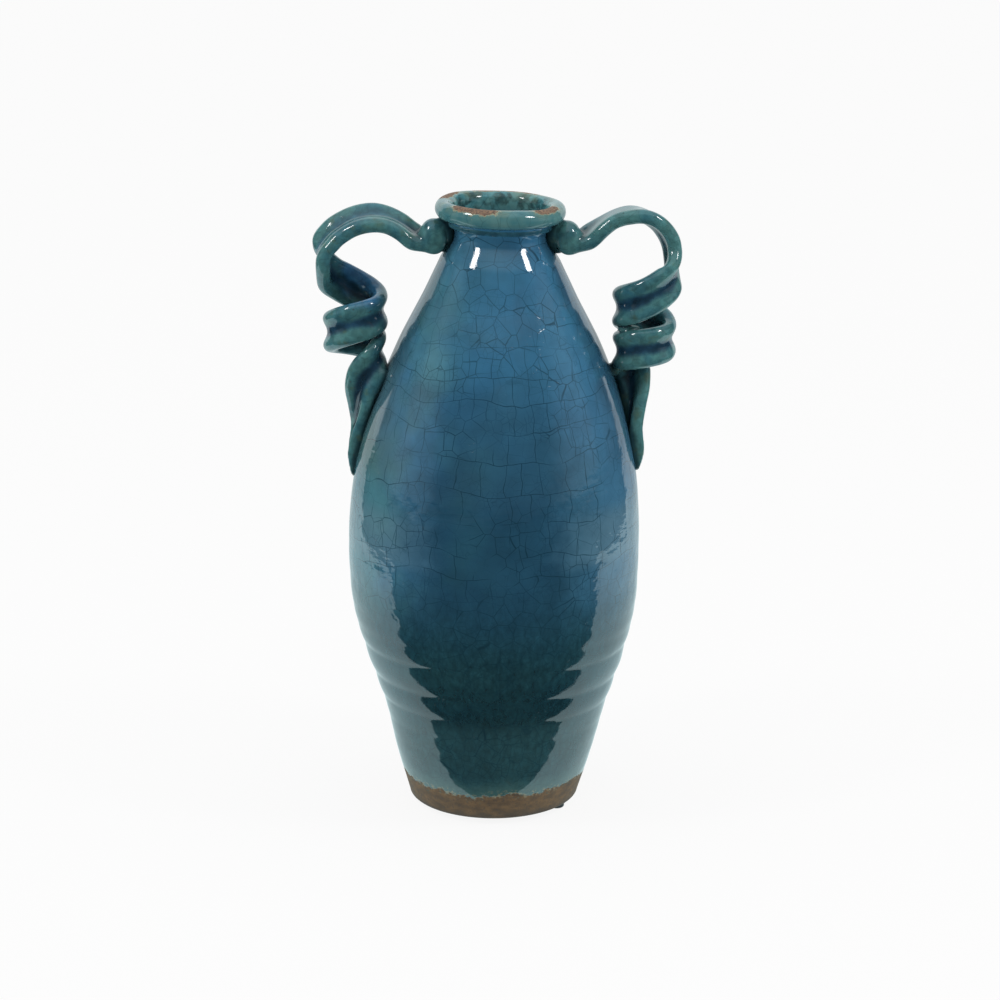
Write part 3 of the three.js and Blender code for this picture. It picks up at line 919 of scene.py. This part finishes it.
def bent(board, place, size):
    """place pushed about a little, so that the borders of cells this size aren't straight."""
    return board.scatter(place, 0.10 * size, 1.5 * size)


def main_cracks(board, place, size, strength=1.0):
    faint = board.clouds(place + (0.0, 300.0, 0.0), 30).between(0.30, 0.65)
    net = crack_net(board, bent(board, place, size), size, MAIN_WIDTH, 1)
    return net * (0.45 + faint * 0.55) * strength


def fine_cracks(board, place, size):
    """A finer net inside the main one, about half its size, open in some patches only."""
    open_here = board.clouds(place + (400.0, 0.0, 0.0), 22).between(0.40, 0.62)
    return crack_net(board, bent(board, place, size), size * 0.47, FINE_WIDTH, 2) * open_here * 0.5


print("The cracks are", MAIN_WIDTH, "and", FINE_WIDTH, "mm wide")

# %% [markdown]
# Round the body the glaze has also split in long level cracks, with short upright ones between them, like
# courses of brick. A Voronoi texture in one dimension cuts the height into strips of uneven depth. Each
# strip has a number of its own, and adding that to the distance round the pot starts its uprights in a
# new place.

# %% Long cracks round the pot
STRIP_DEPTH, BRICK_LENGTH = 19, 14
LONG_CRACK = (0.34, 0.08)


def long_cracks(board, place, x, y, z):
    """Cracks that run round the pot, with shorter ones across the strips between them."""
    flat = {"voronoi_dimensions": "1D"}
    flat_edge = {"voronoi_dimensions": "1D", "feature": "DISTANCE_TO_EDGE"}
    around = board.maths("ARCTAN2", x - foot_centre, 0 - y) * MEAN_RADIUS
    level = z + board.clouds(place, 60, 1) * 26 + board.clouds(place, 13, 1) * 4
    strips = {"W": level, "Scale": 1 / STRIP_DEPTH, "Randomness": 0.8}
    strip_edge = board.add("ShaderNodeTexVoronoi", flat_edge, strips)[0]
    strip = board.add("ShaderNodeTexVoronoi", flat, strips)
    number = next(output for output in strip if output.socket.name == "W")
    along = around + number * 37 + board.clouds(place + (0.0, 0.0, 250.0), 16, 1) * 9
    bricks = {"W": along, "Scale": 1 / BRICK_LENGTH, "Randomness": 0.9}
    post = board.add("ShaderNodeTexVoronoi", flat_edge, bricks)[0]
    rows = (strip_edge * STRIP_DEPTH).between(*LONG_CRACK)
    posts = (post * BRICK_LENGTH).between(*LONG_CRACK)
    return board.maths("MAXIMUM", rows, posts)


print("The long cracks lie about", STRIP_DEPTH, "mm apart")

# %% Start and finish a surface
GLAZE_IOR, RUBBER_IOR = 1.78, 1.5


def start_surface(name):
    """A material, its board, the place on the object in millimetres, and the three parts of that place."""
    material, board = new_material(name)
    place = board.add("ShaderNodeTexCoord")[3] * 1000
    return material, board, place, board.parts(place)


def fire(board, colour, roughness, bumps, ior=GLAZE_IOR):
    """The shader itself. bumps is a height in millimetres."""
    normal = board.add("ShaderNodeBump", None, {"Height": bumps, "Distance": MM, "Strength": 1.0})[0]
    shader = board.add("ShaderNodeBsdfPrincipled", None, {
        "Base Color": colour, "Roughness": roughness, "Normal": normal, "IOR": ior,
    })[0]
    board.add("ShaderNodeOutputMaterial", None, {"Surface": shader})


print("The glaze bends light", GLAZE_IOR, "times, as lead glass does")

# %% [markdown]
# ## Body glaze
#
# Down the front the glaze is a clear blue, with cloudy teal and grey-green patches higher up on the left.
# It darkens to a deep teal under the belly, where the wall turns away from the light and the glaze has
# run thick. Above the foot it stops in a ragged line, and the clay below is bare, speckled and matt.
#
# The work goes in four steps, as a potter's would: name the colours, say where each one shows, crack the
# glaze, and leave the foot bare. Every zone below is a number from 0 to 1 over the whole surface.

# %% Colours of the body glaze
BLUE_LOW, BLUE_HIGH = (0.018, 0.078, 0.138), (0.031, 0.132, 0.240)
TEAL_LOW, TEAL_HIGH = (0.028, 0.108, 0.134), (0.048, 0.150, 0.178)
SMOKE_BLUE = (0.038, 0.092, 0.150)
DEEP_TEAL, SOFT_TEAL = (0.010, 0.048, 0.062), (0.014, 0.058, 0.070)
# The next two colours are a painted sheen on the flanks and a painted pale reflection on the belt.
FLANK_PAINTED_SHEEN, BELT_PAINTED_REFLECTION = (0.095, 0.145, 0.175), (0.130, 0.240, 0.300)
# The second colour on the next line is a painted sheen low on the sides.
FOOT_HAZE, SIDE_PAINTED_SHEEN = (0.030, 0.070, 0.072), (0.035, 0.120, 0.150)
LEFT_GREEN = (0.085, 0.155, 0.130)
# The next colour is painted shade where the straps lie on the wall.
STRAP_PAINTED_SHADE = (0.006, 0.022, 0.030)
INNER_DARK, INNER_PALE = (0.020, 0.072, 0.076), (0.085, 0.190, 0.170)
CRACK_INK, FINE_INK = (0.004, 0.028, 0.046), (0.005, 0.032, 0.050)
THIN_TEAL = (0.070, 0.160, 0.155)
CLAY_DARK, CLAY_PALE = (0.084, 0.043, 0.012), (0.225, 0.120, 0.034)
# The second colour on the next line is painted shade at the bottom of the foot.
CLAY_GRIT, CLAY_PAINTED_SHADE = (0.055, 0.038, 0.028), (0.045, 0.032, 0.024)
DRIP_GREEN, FRINGE_CREAM = (0.030, 0.090, 0.075), (0.300, 0.290, 0.180)
print("The deep teal has", round(DEEP_TEAL[2] / BLUE_HIGH[2], 2), "of the blue of the neck")

# %% Where the body glaze changes
body_glaze, board, place, (x, y, z) = start_surface("body_glaze")
across_pot = x - foot_centre
patches = board.clouds(board.scatter(place, 14, 45), 62, 3).between(0.34, 0.68)
smoke = board.clouds(board.scatter(place + (0.0, 0.0, 900.0), 12, 40), 40, 3).between(0.50, 0.72)
mottle = board.clouds(board.scatter(place, 4, 12), 15, 3)
thick = board.clouds(place + (200.0, 0.0, 0.0), 34, 2)
bands = board.clouds(place * (0.12, 0.12, 1.0) + (0.0, 0.0, 50.0), 13, 2)
fibres = board.clouds(board.scatter(place, 2, 6) * (1.0, 1.0, 0.45), 3.2, 4, 0.6)

# Zones by height alone.
high, deep = z.between(215, 320), z.between(200, 118)
# Zones for painted light on the shoulder and painted shade on a belt below it.
painted_shoulder_light, shaded_belt = z.between(300, 335), z.between(235, 270) * z.between(330, 300)
# A low ring of painted shade, where the wall turns down.
low_ring_painted_shade = z.between(72, 84) * z.between(124, 104)
# The first two zones on the next line place painted light from the floor, low on the wall.
painted_floor_light_low, painted_floor_light_foot, foot_haze = z.between(84, 66), z.between(40, 28), z.between(90, 70)

# Zones by how far round to the side a place lies: 0 at the front and back, 1 at the sides.
off_axis = across_pot - 2
to_side = board.maths("ABSOLUTE", off_axis) / board.maths("SQRT", off_axis * off_axis + y * y)
to_side = to_side + (mottle - 0.5) * 0.25
# Zones for painted light on the flanks: lighter sides, a darker far band as a painted dark reflection, and a
# pale reflected belt.
flank_painted_light = to_side.between(0.30, 0.85) * z.between(140, 195)
flank_painted_light = flank_painted_light * (1 - z.between(220, 270) * 0.15 - z.between(285, 325) * 0.65)
far_flank_dark_reflection = to_side.between(0.80, 0.93) * z.between(240, 290)
painted_belt_reflection = flank_painted_light * z.between(190, 201) * z.between(238, 221)
# A zone for painted sheen low on the sides.
low_side_painted_sheen = to_side.between(0.50, 0.85) * z.between(136, 112) * z.between(60, 84)
left_side = across_pot.between(25, -70)
left_edge = across_pot.between(-48, -74) * z.between(240, 262)
print("Zones so far use", len(body_glaze.node_tree.nodes), "nodes")

# %% Mix the body glaze
blue = board.mix(high, BLUE_LOW, BLUE_HIGH)
teal = board.mix(high, TEAL_LOW, TEAL_HIGH)
colour = board.mix(patches * (0.15 + left_side * 0.85), blue, teal)
colour = board.mix(smoke * high * 0.45, colour, SMOKE_BLUE)
colour = board.mix(deep * 0.92, colour, board.mix(patches, DEEP_TEAL, SOFT_TEAL))
colour = colour * (1 + deep * (fibres - 0.5) * 1.6)
colour = colour * (0.46 + thick * 0.42 + bands * 0.20 + mottle * 0.44)
# Painted light: the flanks lighter, a far band on each darker as a painted dark reflection, and a low ring
# darker as painted shade.
colour = colour * (1 + flank_painted_light - low_ring_painted_shade * 0.22) * (1 - far_flank_dark_reflection * 0.45)
# A painted sheen over the flanks and a painted pale reflection on the belt.
colour = board.mix(flank_painted_light * 0.22, colour, FLANK_PAINTED_SHEEN)
colour = board.mix(painted_belt_reflection * 0.5, colour, BELT_PAINTED_REFLECTION)
# Painted light on the shoulder, painted shade on the belt below it.
colour = colour * (1 + painted_shoulder_light * 0.16 - shaded_belt * 0.14)
# Painted light from the floor, low on the wall and near the foot.
colour = colour * (1 + painted_floor_light_low * 0.40 + painted_floor_light_foot * 0.35)
colour = board.mix(foot_haze * 0.40, colour, FOOT_HAZE)
# Painted sheen low on the sides.
colour = board.mix(low_side_painted_sheen * 0.5, colour, SIDE_PAINTED_SHEEN)
colour = board.mix(left_edge * 0.35, colour, LEFT_GREEN)

# Painted shade darkens the wall where the straps lie on it. Inside, the glaze is thin and mottled green.
strap_painted_shade = (board.stored("from_strap") + mottle * 3).between(5.0, 2.0)
colour = board.mix(strap_painted_shade * 0.60, colour, STRAP_PAINTED_SHADE)
inner_green = board.mix(mottle.between(0.35, 0.65), INNER_DARK, INNER_PALE)
colour = board.mix(board.stored("inside"), colour, inner_green)
print("With its colours mixed the body glaze uses", len(body_glaze.node_tree.nodes), "nodes")

# %% Crack the body glaze
BODY_CELL, SMALL_CELL = 13, 7.5
small_net = crack_net(board, board.scatter(place, 1.2, 9), SMALL_CELL, NET_WIDTH, 4) * deep
fine = board.maths("MAXIMUM", fine_cracks(board, place, BODY_CELL), small_net * 0.9)
brick_zone = z.between(362, 330) * z.between(165, 195)
bricks_instead = board.clouds(place + (0.0, 0.0, 700.0), 50, 1).between(0.40, 0.50)
main = main_cracks(board, place, BODY_CELL) * (1 - brick_zone * bricks_instead * 0.75)
bricks_open = board.clouds(place + (0.0, 0.0, 600.0), 30).between(0.36, 0.50)
bricks = long_cracks(board, place, x, y, z) * (0.25 + brick_zone * 0.75) * bricks_open
dark_line = board.maths("MAXIMUM", main, bricks)
shown = 1 - deep * 0.20
colour = board.mix(dark_line * shown * 0.72, colour, CRACK_INK)
colour = board.mix(fine * shown * 0.60, colour, FINE_INK)
print("The main cells are", BODY_CELL, "mm across, and", SMALL_CELL, "mm under the belly")

# %% Leave the foot bare
# Clouds average a half, so the glaze stops about 9.5 mm above this line, and higher or lower by turns.
GLAZE_LINE = 14
edge = GLAZE_LINE + board.clouds(place * (1.0, 1.0, 0.2), 30, 1) * 10 + board.clouds(place, 4.5, 3) * 9
above_edge = z - edge
glazed = above_edge.between(-0.5, 0.5)
colour = board.mix(above_edge.between(16, 0) * 0.75, colour, THIN_TEAL)
grit = board.clouds(place, 1.6, 3)
stain = board.clouds(place * (1.0, 1.0, 2.0), 9, 3).between(0.2, 0.85)
clay = board.mix(stain, CLAY_DARK, CLAY_PALE)
clay = board.mix(grit.between(0.52, 0.72) * 0.7, clay, CLAY_GRIT)
# Painted shade darkens the clay at the bottom of the foot.
clay = board.mix(z.between(11, 4) * 0.65, clay, CLAY_PAINTED_SHADE)
drips = board.clouds(place, 2.6, 3).between(0.60, 0.66) * above_edge.between(-7, -1)
clay = board.mix(drips * 0.8, clay, DRIP_GREEN)
colour = board.mix(glazed, clay, colour)
fringe = above_edge.between(-3.5, -0.5) * above_edge.between(4.5, 0.5)
fringe = fringe * board.clouds(place, 2.2, 4, 0.65).between(0.52, 0.60)
colour = board.mix(fringe * 0.7, colour, FRINGE_CREAM)
print("The glaze stops about", GLAZE_LINE + 9.5, "mm up")

# %% [markdown]
# The last step is the surface. Under a mirror-smooth glaze the wall is slightly uneven, most of all round
# the belly, and that breaks up the edges of every reflection. The glaze also ends in a small step, dips
# into its cracks, and has a few pinholes. All are heights in millimetres, added up into one bump.

# %% Surface of the body
uneven_belt = z.between(140, 165) * z.between(290, 260)
neck_smooth = z.between(350, 385)
dimples = board.clouds(place, 12, 2) * (0.15 + uneven_belt * 0.42 - neck_smooth * 0.10)
dimples = dimples + board.clouds(place * (0.4, 0.4, 1.6), 5, 2) * (0.03 + uneven_belt * 0.11)
pitted = board.clouds(place + (0.0, 150.0, 0.0), 26).between(0.56, 0.66)
pits = board.clouds(place, 1.9, 2).between(0.66, 0.74) * pitted
glaze_height = dimples + 0.25 - dark_line * 0.008 - fine * 0.004 - pits * 0.12
fire(board, colour, 0.70 - glazed * 0.64, glaze_height * glazed + grit * (1 - glazed) * 0.22)
thrown_vessel.data.materials.append(body_glaze)
print("Body glaze uses", len(body_glaze.node_tree.nodes), "nodes")

# %% [markdown]
# ## Lip glaze
#
# Glaze slides off a crest in the kiln. On top of the lip it has gone, in long patches, to rough brown
# clay, with a cream rim to each patch where the last thin glaze turned milky. Below, it is sea green.
#
# The worn patches are listed, each as an angle round the lip, half its length as an angle, and a
# distance from the pot's middle. A crumbly noise added to them makes their edges.

# %% Colours and worn places of the lip
SEA_DARK, SEA_PALE = (0.052, 0.180, 0.205), (0.100, 0.238, 0.240)
# The first colour on the next line is bluer glaze under the roll, darkened with painted shade.
UNDER_LIP_BLUE_AND_SHADE, LIP_CRACK = (0.024, 0.100, 0.150), (0.008, 0.035, 0.045)
LIP_OLIVE, LIP_CREAM = (0.150, 0.190, 0.110), (0.38, 0.35, 0.21)
CHIP_DARK, CHIP_PALE = (0.095, 0.048, 0.026), (0.28, 0.160, 0.085)
WORN_PLACES = [
    (-0.45, 0.56, 39.6), (0.95, 0.42, 39.4), (-1.95, 0.45, 38.6), (-3.0, 0.5, 39.8), (2.75, 0.55, 40.2),
]
print("The crest is worn in", len(WORN_PLACES), "places")

# %% Mix the lip glaze
lip_glaze, board, place, (x, y, z) = start_surface("lip_glaze")
crest = board.stored("crest")
sea_green = board.mix(board.clouds(place, 12, 3).between(0.35, 0.65), SEA_DARK, SEA_PALE)
# Under the roll the glaze is bluer, and painted shade darkens it.
colour = board.mix(z.between(422, 412), sea_green, UNDER_LIP_BLUE_AND_SHADE)
main = main_cracks(board, place, 10, 0.7)
colour = board.mix(main * 0.5, colour, LIP_CRACK)

across_lip = x - foot_centre - DRIFT[-1]
turn = board.maths("ARCTAN2", across_lip, 0 - y)
reach = board.maths("SQRT", across_lip * across_lip + y * y)
worn = 0.0
for middle, half, ring in WORN_PLACES:
    along = board.maths("ABSOLUTE", turn - middle).between(half * 1.1, half * 0.3)
    worn = worn + along * board.maths("ABSOLUTE", reach - ring).between(6.0, 0.8)
crumble = board.clouds(place + (70.0, 20.0, 0.0), 4.5, 5, 0.76)
wear = crumble * 1.5 + crest.between(0.05, 0.75) * worn * 0.85
cream, bare = wear.between(0.98, 1.12), wear.between(1.15, 1.20)

inner_mottle = board.clouds(board.scatter(place, 3, 8), 7, 3).between(0.35, 0.62)
colour = colour * (1 + reach.between(37, 34) * (inner_mottle * 1.1 - 0.6))
olive = board.clouds(board.scatter(place, 4, 9) + (11.0, 0.0, 0.0), 11, 3).between(0.42, 0.62)
colour = board.mix(crest * olive * 0.55, colour, LIP_OLIVE)
colour = board.mix(cream * 0.75, colour, LIP_CREAM)
grit = board.clouds(place, 1.3, 3)
colour = board.mix(bare, colour, board.mix(grit.between(0.35, 0.65), CHIP_DARK, CHIP_PALE))
bumps = board.clouds(place, 5, 2) * 0.05 - bare * 0.22 + grit * bare * 0.15 - main * 0.02
fire(board, colour, 0.07 + bare * 0.55, bumps)
rolled_lip.data.materials.append(lip_glaze)
print("Lip glaze uses", len(lip_glaze.node_tree.nodes), "nodes")

# %% [markdown]
# ## Handle glaze
#
# Runny glaze leaves the round edges of a strap thin and green and pools dark blue in the hollow between
# them. The hollow's depth was stored with the mesh, so the colour follows the real shape through every
# twist. Creases were stored too: glaze gathers dark in a fold, deepened there by painted shade, and wears
# olive on a ridge, where the strap is also painted lighter as a painted highlight. Painted shade darkens
# the strap where it is pressed on the wall. Small iron specks from the clay have burned through here and
# there.

# %% Colours of the handle glaze
GREEN_DARK, GREEN_PALE = (0.032, 0.118, 0.145), (0.060, 0.172, 0.172)
# The last colour on the next line is blue pooled glaze, painted lighter as painted light on the coil's inner
# face.
POOL_HIGH, POOL_LOW, POOL_INNER_BLUE_AND_LIGHT = (0.085, 0.215, 0.310), (0.020, 0.072, 0.145), (0.032, 0.130, 0.290)
# The first colour on the next line is pooled glaze in the folds, deepened as painted shade.
FOLD_POOL_AND_SHADE, FLECK_CREAM = (0.005, 0.018, 0.028), (0.30, 0.29, 0.17)
RIDGE_OLIVE, PATCH_OLIVE = (0.150, 0.160, 0.080), (0.085, 0.130, 0.070)
HANDLE_CRACK, IRON = (0.006, 0.030, 0.040), (0.010, 0.012, 0.012)
SPECK_GAP = 5.5
print("Iron specks lie about", SPECK_GAP, "mm apart where they show at all")

# %% Mix the handle glaze
handle_glaze, board, place, (x, y, z) = start_surface("handle_glaze")
hollow, crease, gap = board.stored("hollow"), board.stored("crease"), board.stored("off_wall")
across_pot = x - foot_centre
drift = board.clouds(board.scatter(place, 5, 14), 16, 3)
low_down = z.between(396, 372)

# The inner face of the left coil's first turn shows, and its pool is a clear blue, painted lighter than the
# other pools as painted light on that face.
inner = across_pot.between(-108, -100) * across_pot.between(-70, -82)
inner = inner * z.between(356, 366) * z.between(394, 384)
pool = (hollow + drift * 0.8 - 0.40).between(0.25, 0.9) * (0.75 + low_down * 0.25)
pool = board.maths("MAXIMUM", pool, inner * (0.6 + drift * 0.5))
pooled = board.mix(inner, board.mix(low_down, POOL_HIGH, POOL_LOW), POOL_INNER_BLUE_AND_LIGHT)
thin_green = board.mix(board.clouds(place, 21, 3).between(0.38, 0.62), GREEN_DARK, GREEN_PALE)
colour = board.mix(pool * 0.9, thin_green, pooled)

fine_mottle = board.clouds(board.scatter(place, 1.5, 4), 4.5, 3).between(0.25, 0.75)
bend = crease + drift * 0.5 - 0.25
# Ridges are painted lighter here as a painted highlight, beside random tone.
colour = colour * (0.50 + fine_mottle * 0.50 + drift * 0.80 + bend.between(-0.2, -0.9) * 0.30)
# Painted shade where the strap is pressed on the wall, and in the folds over the pooled glaze.
pressed_painted_shade = (gap + drift * 3).between(6.5, 3.0)
fold_pool_and_shade = board.maths("MAXIMUM", bend.between(-0.10, 0.28), pressed_painted_shade * 0.85)
colour = board.mix(fold_pool_and_shade * 0.88, colour, FOLD_POOL_AND_SHADE)
fleck = board.clouds(place + (0.0, 0.0, 40.0), 3.5, 3).between(0.66, 0.72) * crease.between(-0.3, -0.8)
colour = board.mix(fleck * 0.7, colour, FLECK_CREAM)
ridge = crease.between(-0.40, -0.95) * board.clouds(place + (50.0, 0.0, 0.0), 6, 4).between(0.45, 0.60)
colour = board.mix(ridge * 0.45, colour, RIDGE_OLIVE)
olive = board.clouds(place + (0.0, 90.0, 0.0), 9, 3).between(0.58, 0.76) * (1 - pool)
colour = board.mix(olive * 0.55, colour, PATCH_OLIVE)

main = main_cracks(board, place, 11, 0.55)
colour = board.mix(main * 0.45, colour, HANDLE_CRACK)
speck = board.add("ShaderNodeTexVoronoi", None, {"Vector": place, "Scale": 1 / SPECK_GAP})[0]
speck = (speck * SPECK_GAP).between(0.75, 0.35)
speck = speck * board.clouds(place + (33.0, 0.0, 0.0), 24).between(0.55, 0.62)
colour = board.mix(speck * 0.8, colour, IRON)
bumps = board.clouds(place, 6, 2) * 0.06 + board.clouds(place, 2, 2) * 0.006 - main * 0.02
fire(board, colour, 0.085 + speck * 0.25, bumps)
for strap in (strap_right, strap_left):
    strap.data.materials.append(handle_glaze)
print("Handle glaze uses", len(handle_glaze.node_tree.nodes), "nodes")

# %% [markdown]
# ## Bumper rubber
#
# Moulded rubber is nearly black, with a soft sheen and a bloom of dust that makes it greyer in patches.

# %% Mix the rubber
RUBBER_BLACK, RUBBER_BLOOM = (0.012, 0.012, 0.014), (0.030, 0.029, 0.030)
pad_rubber, board, place, _ = start_surface("pad_rubber")
bloom = board.clouds(place, 3, 3).between(0.4, 0.7)
bumps = board.clouds(place, 0.6, 2) * 0.02
fire(board, board.mix(bloom, RUBBER_BLACK, RUBBER_BLOOM), 0.38 + bloom * 0.2, bumps, RUBBER_IOR)
for bumper in bumpers:
    bumper.data.materials.append(pad_rubber)
print("Rubber uses", len(pad_rubber.node_tree.nodes), "nodes")

# %% [markdown]
# ## Studio
#
# A glossy pot is lit by what it mirrors. Behind it the room is white, which draws the pale bands down
# both flanks. In front the room is dark, which keeps the middle of the pot deep and clear. The floor is
# plain and pale, and keeps the pot's shadow.
#
# Low on the pot the glaze mirrors the floor. A dark cloth covers it in front of the pot, and one
# more on each side covers it out to that side. The floor left bare, beside the pot and behind it, shows
# as the pale bands low on the flanks. Only the glaze can see the cloths.

# %% Floor
FAR = 6
FLOOR_GREY = (0.8, 0.8, 0.8)
NEAR_SHEEN, FAR_SHEEN = (0.74, 0.96, 0.99), (0.54, 0.60, 0.61)
WHITE = (1.0, 1.0, 1.0)


def flat_sheet(name, corners, height):
    """A flat sheet on the ground, from its corners in metres, taken in turn."""
    mesh = bpy.data.meshes.new(name)
    mesh.from_pydata([(x, y, height) for x, y in corners], [], [tuple(range(len(corners)))])
    sheet = bpy.data.objects.new(name, mesh)
    scene.collection.objects.link(sheet)
    sheet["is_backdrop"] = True
    return sheet


floor = flat_sheet("floor", [(-FAR, -FAR), (FAR, -FAR), (FAR, FAR), (-FAR, FAR)], 0)
floor_paint, board = new_material("floor_paint")
rays = board.add("ShaderNodeLightPath")
from_camera, from_gloss = rays[0], rays[3]
further_back = board.parts(board.add("ShaderNodeTexCoord")[3])[1].between(0.0, 1.2)
# Mirror rays see the floor glow, a painted reflection that is blue-green near the pot and greyer further
# back.
sheen = board.mix(further_back, NEAR_SHEEN, FAR_SHEEN)
colour = board.mix(from_camera, sheen, WHITE)
matt = board.add("ShaderNodeBsdfDiffuse", None, {"Color": FLOOR_GREY})[0]
white = board.add("ShaderNodeEmission", None, {"Color": colour, "Strength": 1.0})[0]
seen = board.maths("MAXIMUM", from_camera, from_gloss)
mixed = board.add("ShaderNodeMixShader", None, {"Fac": seen * 0.9, 1: matt, 2: white})[0]
board.add("ShaderNodeOutputMaterial", None, {"Surface": mixed})
floor.data.materials.append(floor_paint)
print("The floor is", 2 * FAR, "m across")

# %% Dark cloths
CLOTH_EDGE, CLOTH_LIFT = -0.077, 0.0005
CLOTH_BLACK = (0.02, 0.02, 0.02)
LEFT_START, LEFT_BACK = -0.72, 0.45
RIGHT_START, RIGHT_BACK = 0.76, 0.50
FAR_BACK = 5.1

cloths = [
    flat_sheet("dark_cloth", [(-FAR, -FAR), (FAR, -FAR), (FAR, CLOTH_EDGE), (-FAR, CLOTH_EDGE)], CLOTH_LIFT),
    flat_sheet("dark_cloth_left", [
        (LEFT_START, CLOTH_EDGE), (LEFT_START, LEFT_BACK), (-FAR, FAR_BACK), (-FAR, CLOTH_EDGE),
    ], CLOTH_LIFT),
    flat_sheet("dark_cloth_right", [
        (RIGHT_START, CLOTH_EDGE), (FAR, CLOTH_EDGE), (FAR, FAR_BACK), (RIGHT_START, RIGHT_BACK),
    ], CLOTH_LIFT),
]
cloth_dye, board = new_material("cloth_dye")
dull = board.add("ShaderNodeBsdfDiffuse", None, {"Color": CLOTH_BLACK})[0]
board.add("ShaderNodeOutputMaterial", None, {"Surface": dull})
for cloth in cloths:
    cloth.data.materials.append(cloth_dye)
    cloth.visible_camera = False
    cloth.visible_diffuse = False
    cloth.visible_shadow = False
print(len(cloths), "cloths are down, the front one", round(-CLOTH_EDGE * 1000), "mm before the pot's middle")

# %% [markdown]
# Two upright windows of light give the two bright marks on the neck. The neck is a cone, so it mirrors
# an upright lamp as a leaning mark. Each lamp is turned a few degrees to stand its mark straighter.

# %% Windows of light
WINDOW_WIDTH, WINDOW_HEIGHT = 0.24, 0.40
WINDOW_DISTANCE, WINDOW_BRIGHTNESS, WINDOW_TURN = 1.6, 15, 16
AIM = Vector((foot_centre * MM, 0, 0.3))


def window(name, direction, turn):
    """A flat lamp facing the pot. Brightness is how bright it looks, where a white wall is 1."""
    panel = bpy.data.lights.new(name, "AREA")
    panel.shape = "RECTANGLE"
    panel.size, panel.size_y = WINDOW_WIDTH, WINDOW_HEIGHT
    panel.energy = WINDOW_BRIGHTNESS * math.pi * WINDOW_WIDTH * WINDOW_HEIGHT
    lamp = bpy.data.objects.new(name, panel)
    scene.collection.objects.link(lamp)
    away = Vector(direction).normalized()
    lamp.location = AIM + away * WINDOW_DISTANCE
    facing = (-away).to_track_quat("-Z", "Y") @ Quaternion((0, 0, 1), math.radians(turn))
    lamp.rotation_euler = facing.to_euler()
    lamp.visible_camera = False
    print(name, "gives", round(panel.energy, 1), "W")


window("window_left", (-0.65, -0.33, 0.79), WINDOW_TURN)
window("window_right", (0.78, -0.31, 0.80), -WINDOW_TURN)

# %% [markdown]
# The room itself is the world, coloured by direction. What the glaze mirrors and what lights it are set
# apart: a mirror ray sees a white wall behind, a gloomy room in front, a faint panel on either side and a
# paler ceiling, and every other ray meets a plain soft light that is stronger from the sides and above.

# %% The room
GLOOM, CEILING_GREY = (0.05, 0.055, 0.06), (0.56, 0.68, 0.74)
SIDE_PANEL, BACK_WALL = (0.24, 0.30, 0.33), (0.76, 0.84, 0.86)
room = bpy.data.worlds.new("room")
scene.world = room
room.use_nodes = True
board = Board(room.node_tree)
x, y, z = board.parts(board.add("ShaderNodeTexCoord")[0])
rays = board.add("ShaderNodeLightPath")
from_camera, from_gloss = rays[0], rays[3]
behind = (y - x * 0.05).between(0.60, 0.66)
beside = (x * x).between(0.45, 0.88) * y.between(0.22, -0.08)
mirrored = board.mix(z.between(0.56, 0.88) * 0.75, GLOOM, CEILING_GREY)
mirrored = board.mix(beside, mirrored, SIDE_PANEL)
mirrored = board.mix(behind, mirrored, BACK_WALL)
soft_light = 0.22 + (x * x).between(0.35, 0.85) * 1.15 + z.between(0.35, 0.95) * 0.75
glow = board.mix(from_gloss, soft_light, mirrored)
sight = board.mix(from_camera, glow, WHITE)
surround = board.add("ShaderNodeBackground", None, {"Color": sight, "Strength": 1.0})[0]
board.add("ShaderNodeOutputWorld", None, {"Surface": surround})
scene.view_settings.view_transform = "Standard"
print("The room uses", len(room.node_tree.nodes), "nodes")

# %% [markdown]
# ## Check the size and finish
#
# The box round the finished pieces is printed beside the CAD model's own box, to show whether the looks
# keep the object's size.

# %% Compare the boxes
seen_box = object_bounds()
for k in range(3):
    cad_side, seen_side = cad_box[1][k] - cad_box[0][k], seen_box[1][k] - seen_box[0][k]
    print("xyz"[k], "CAD", round(cad_side, 4), "visual", round(seen_side, 4))
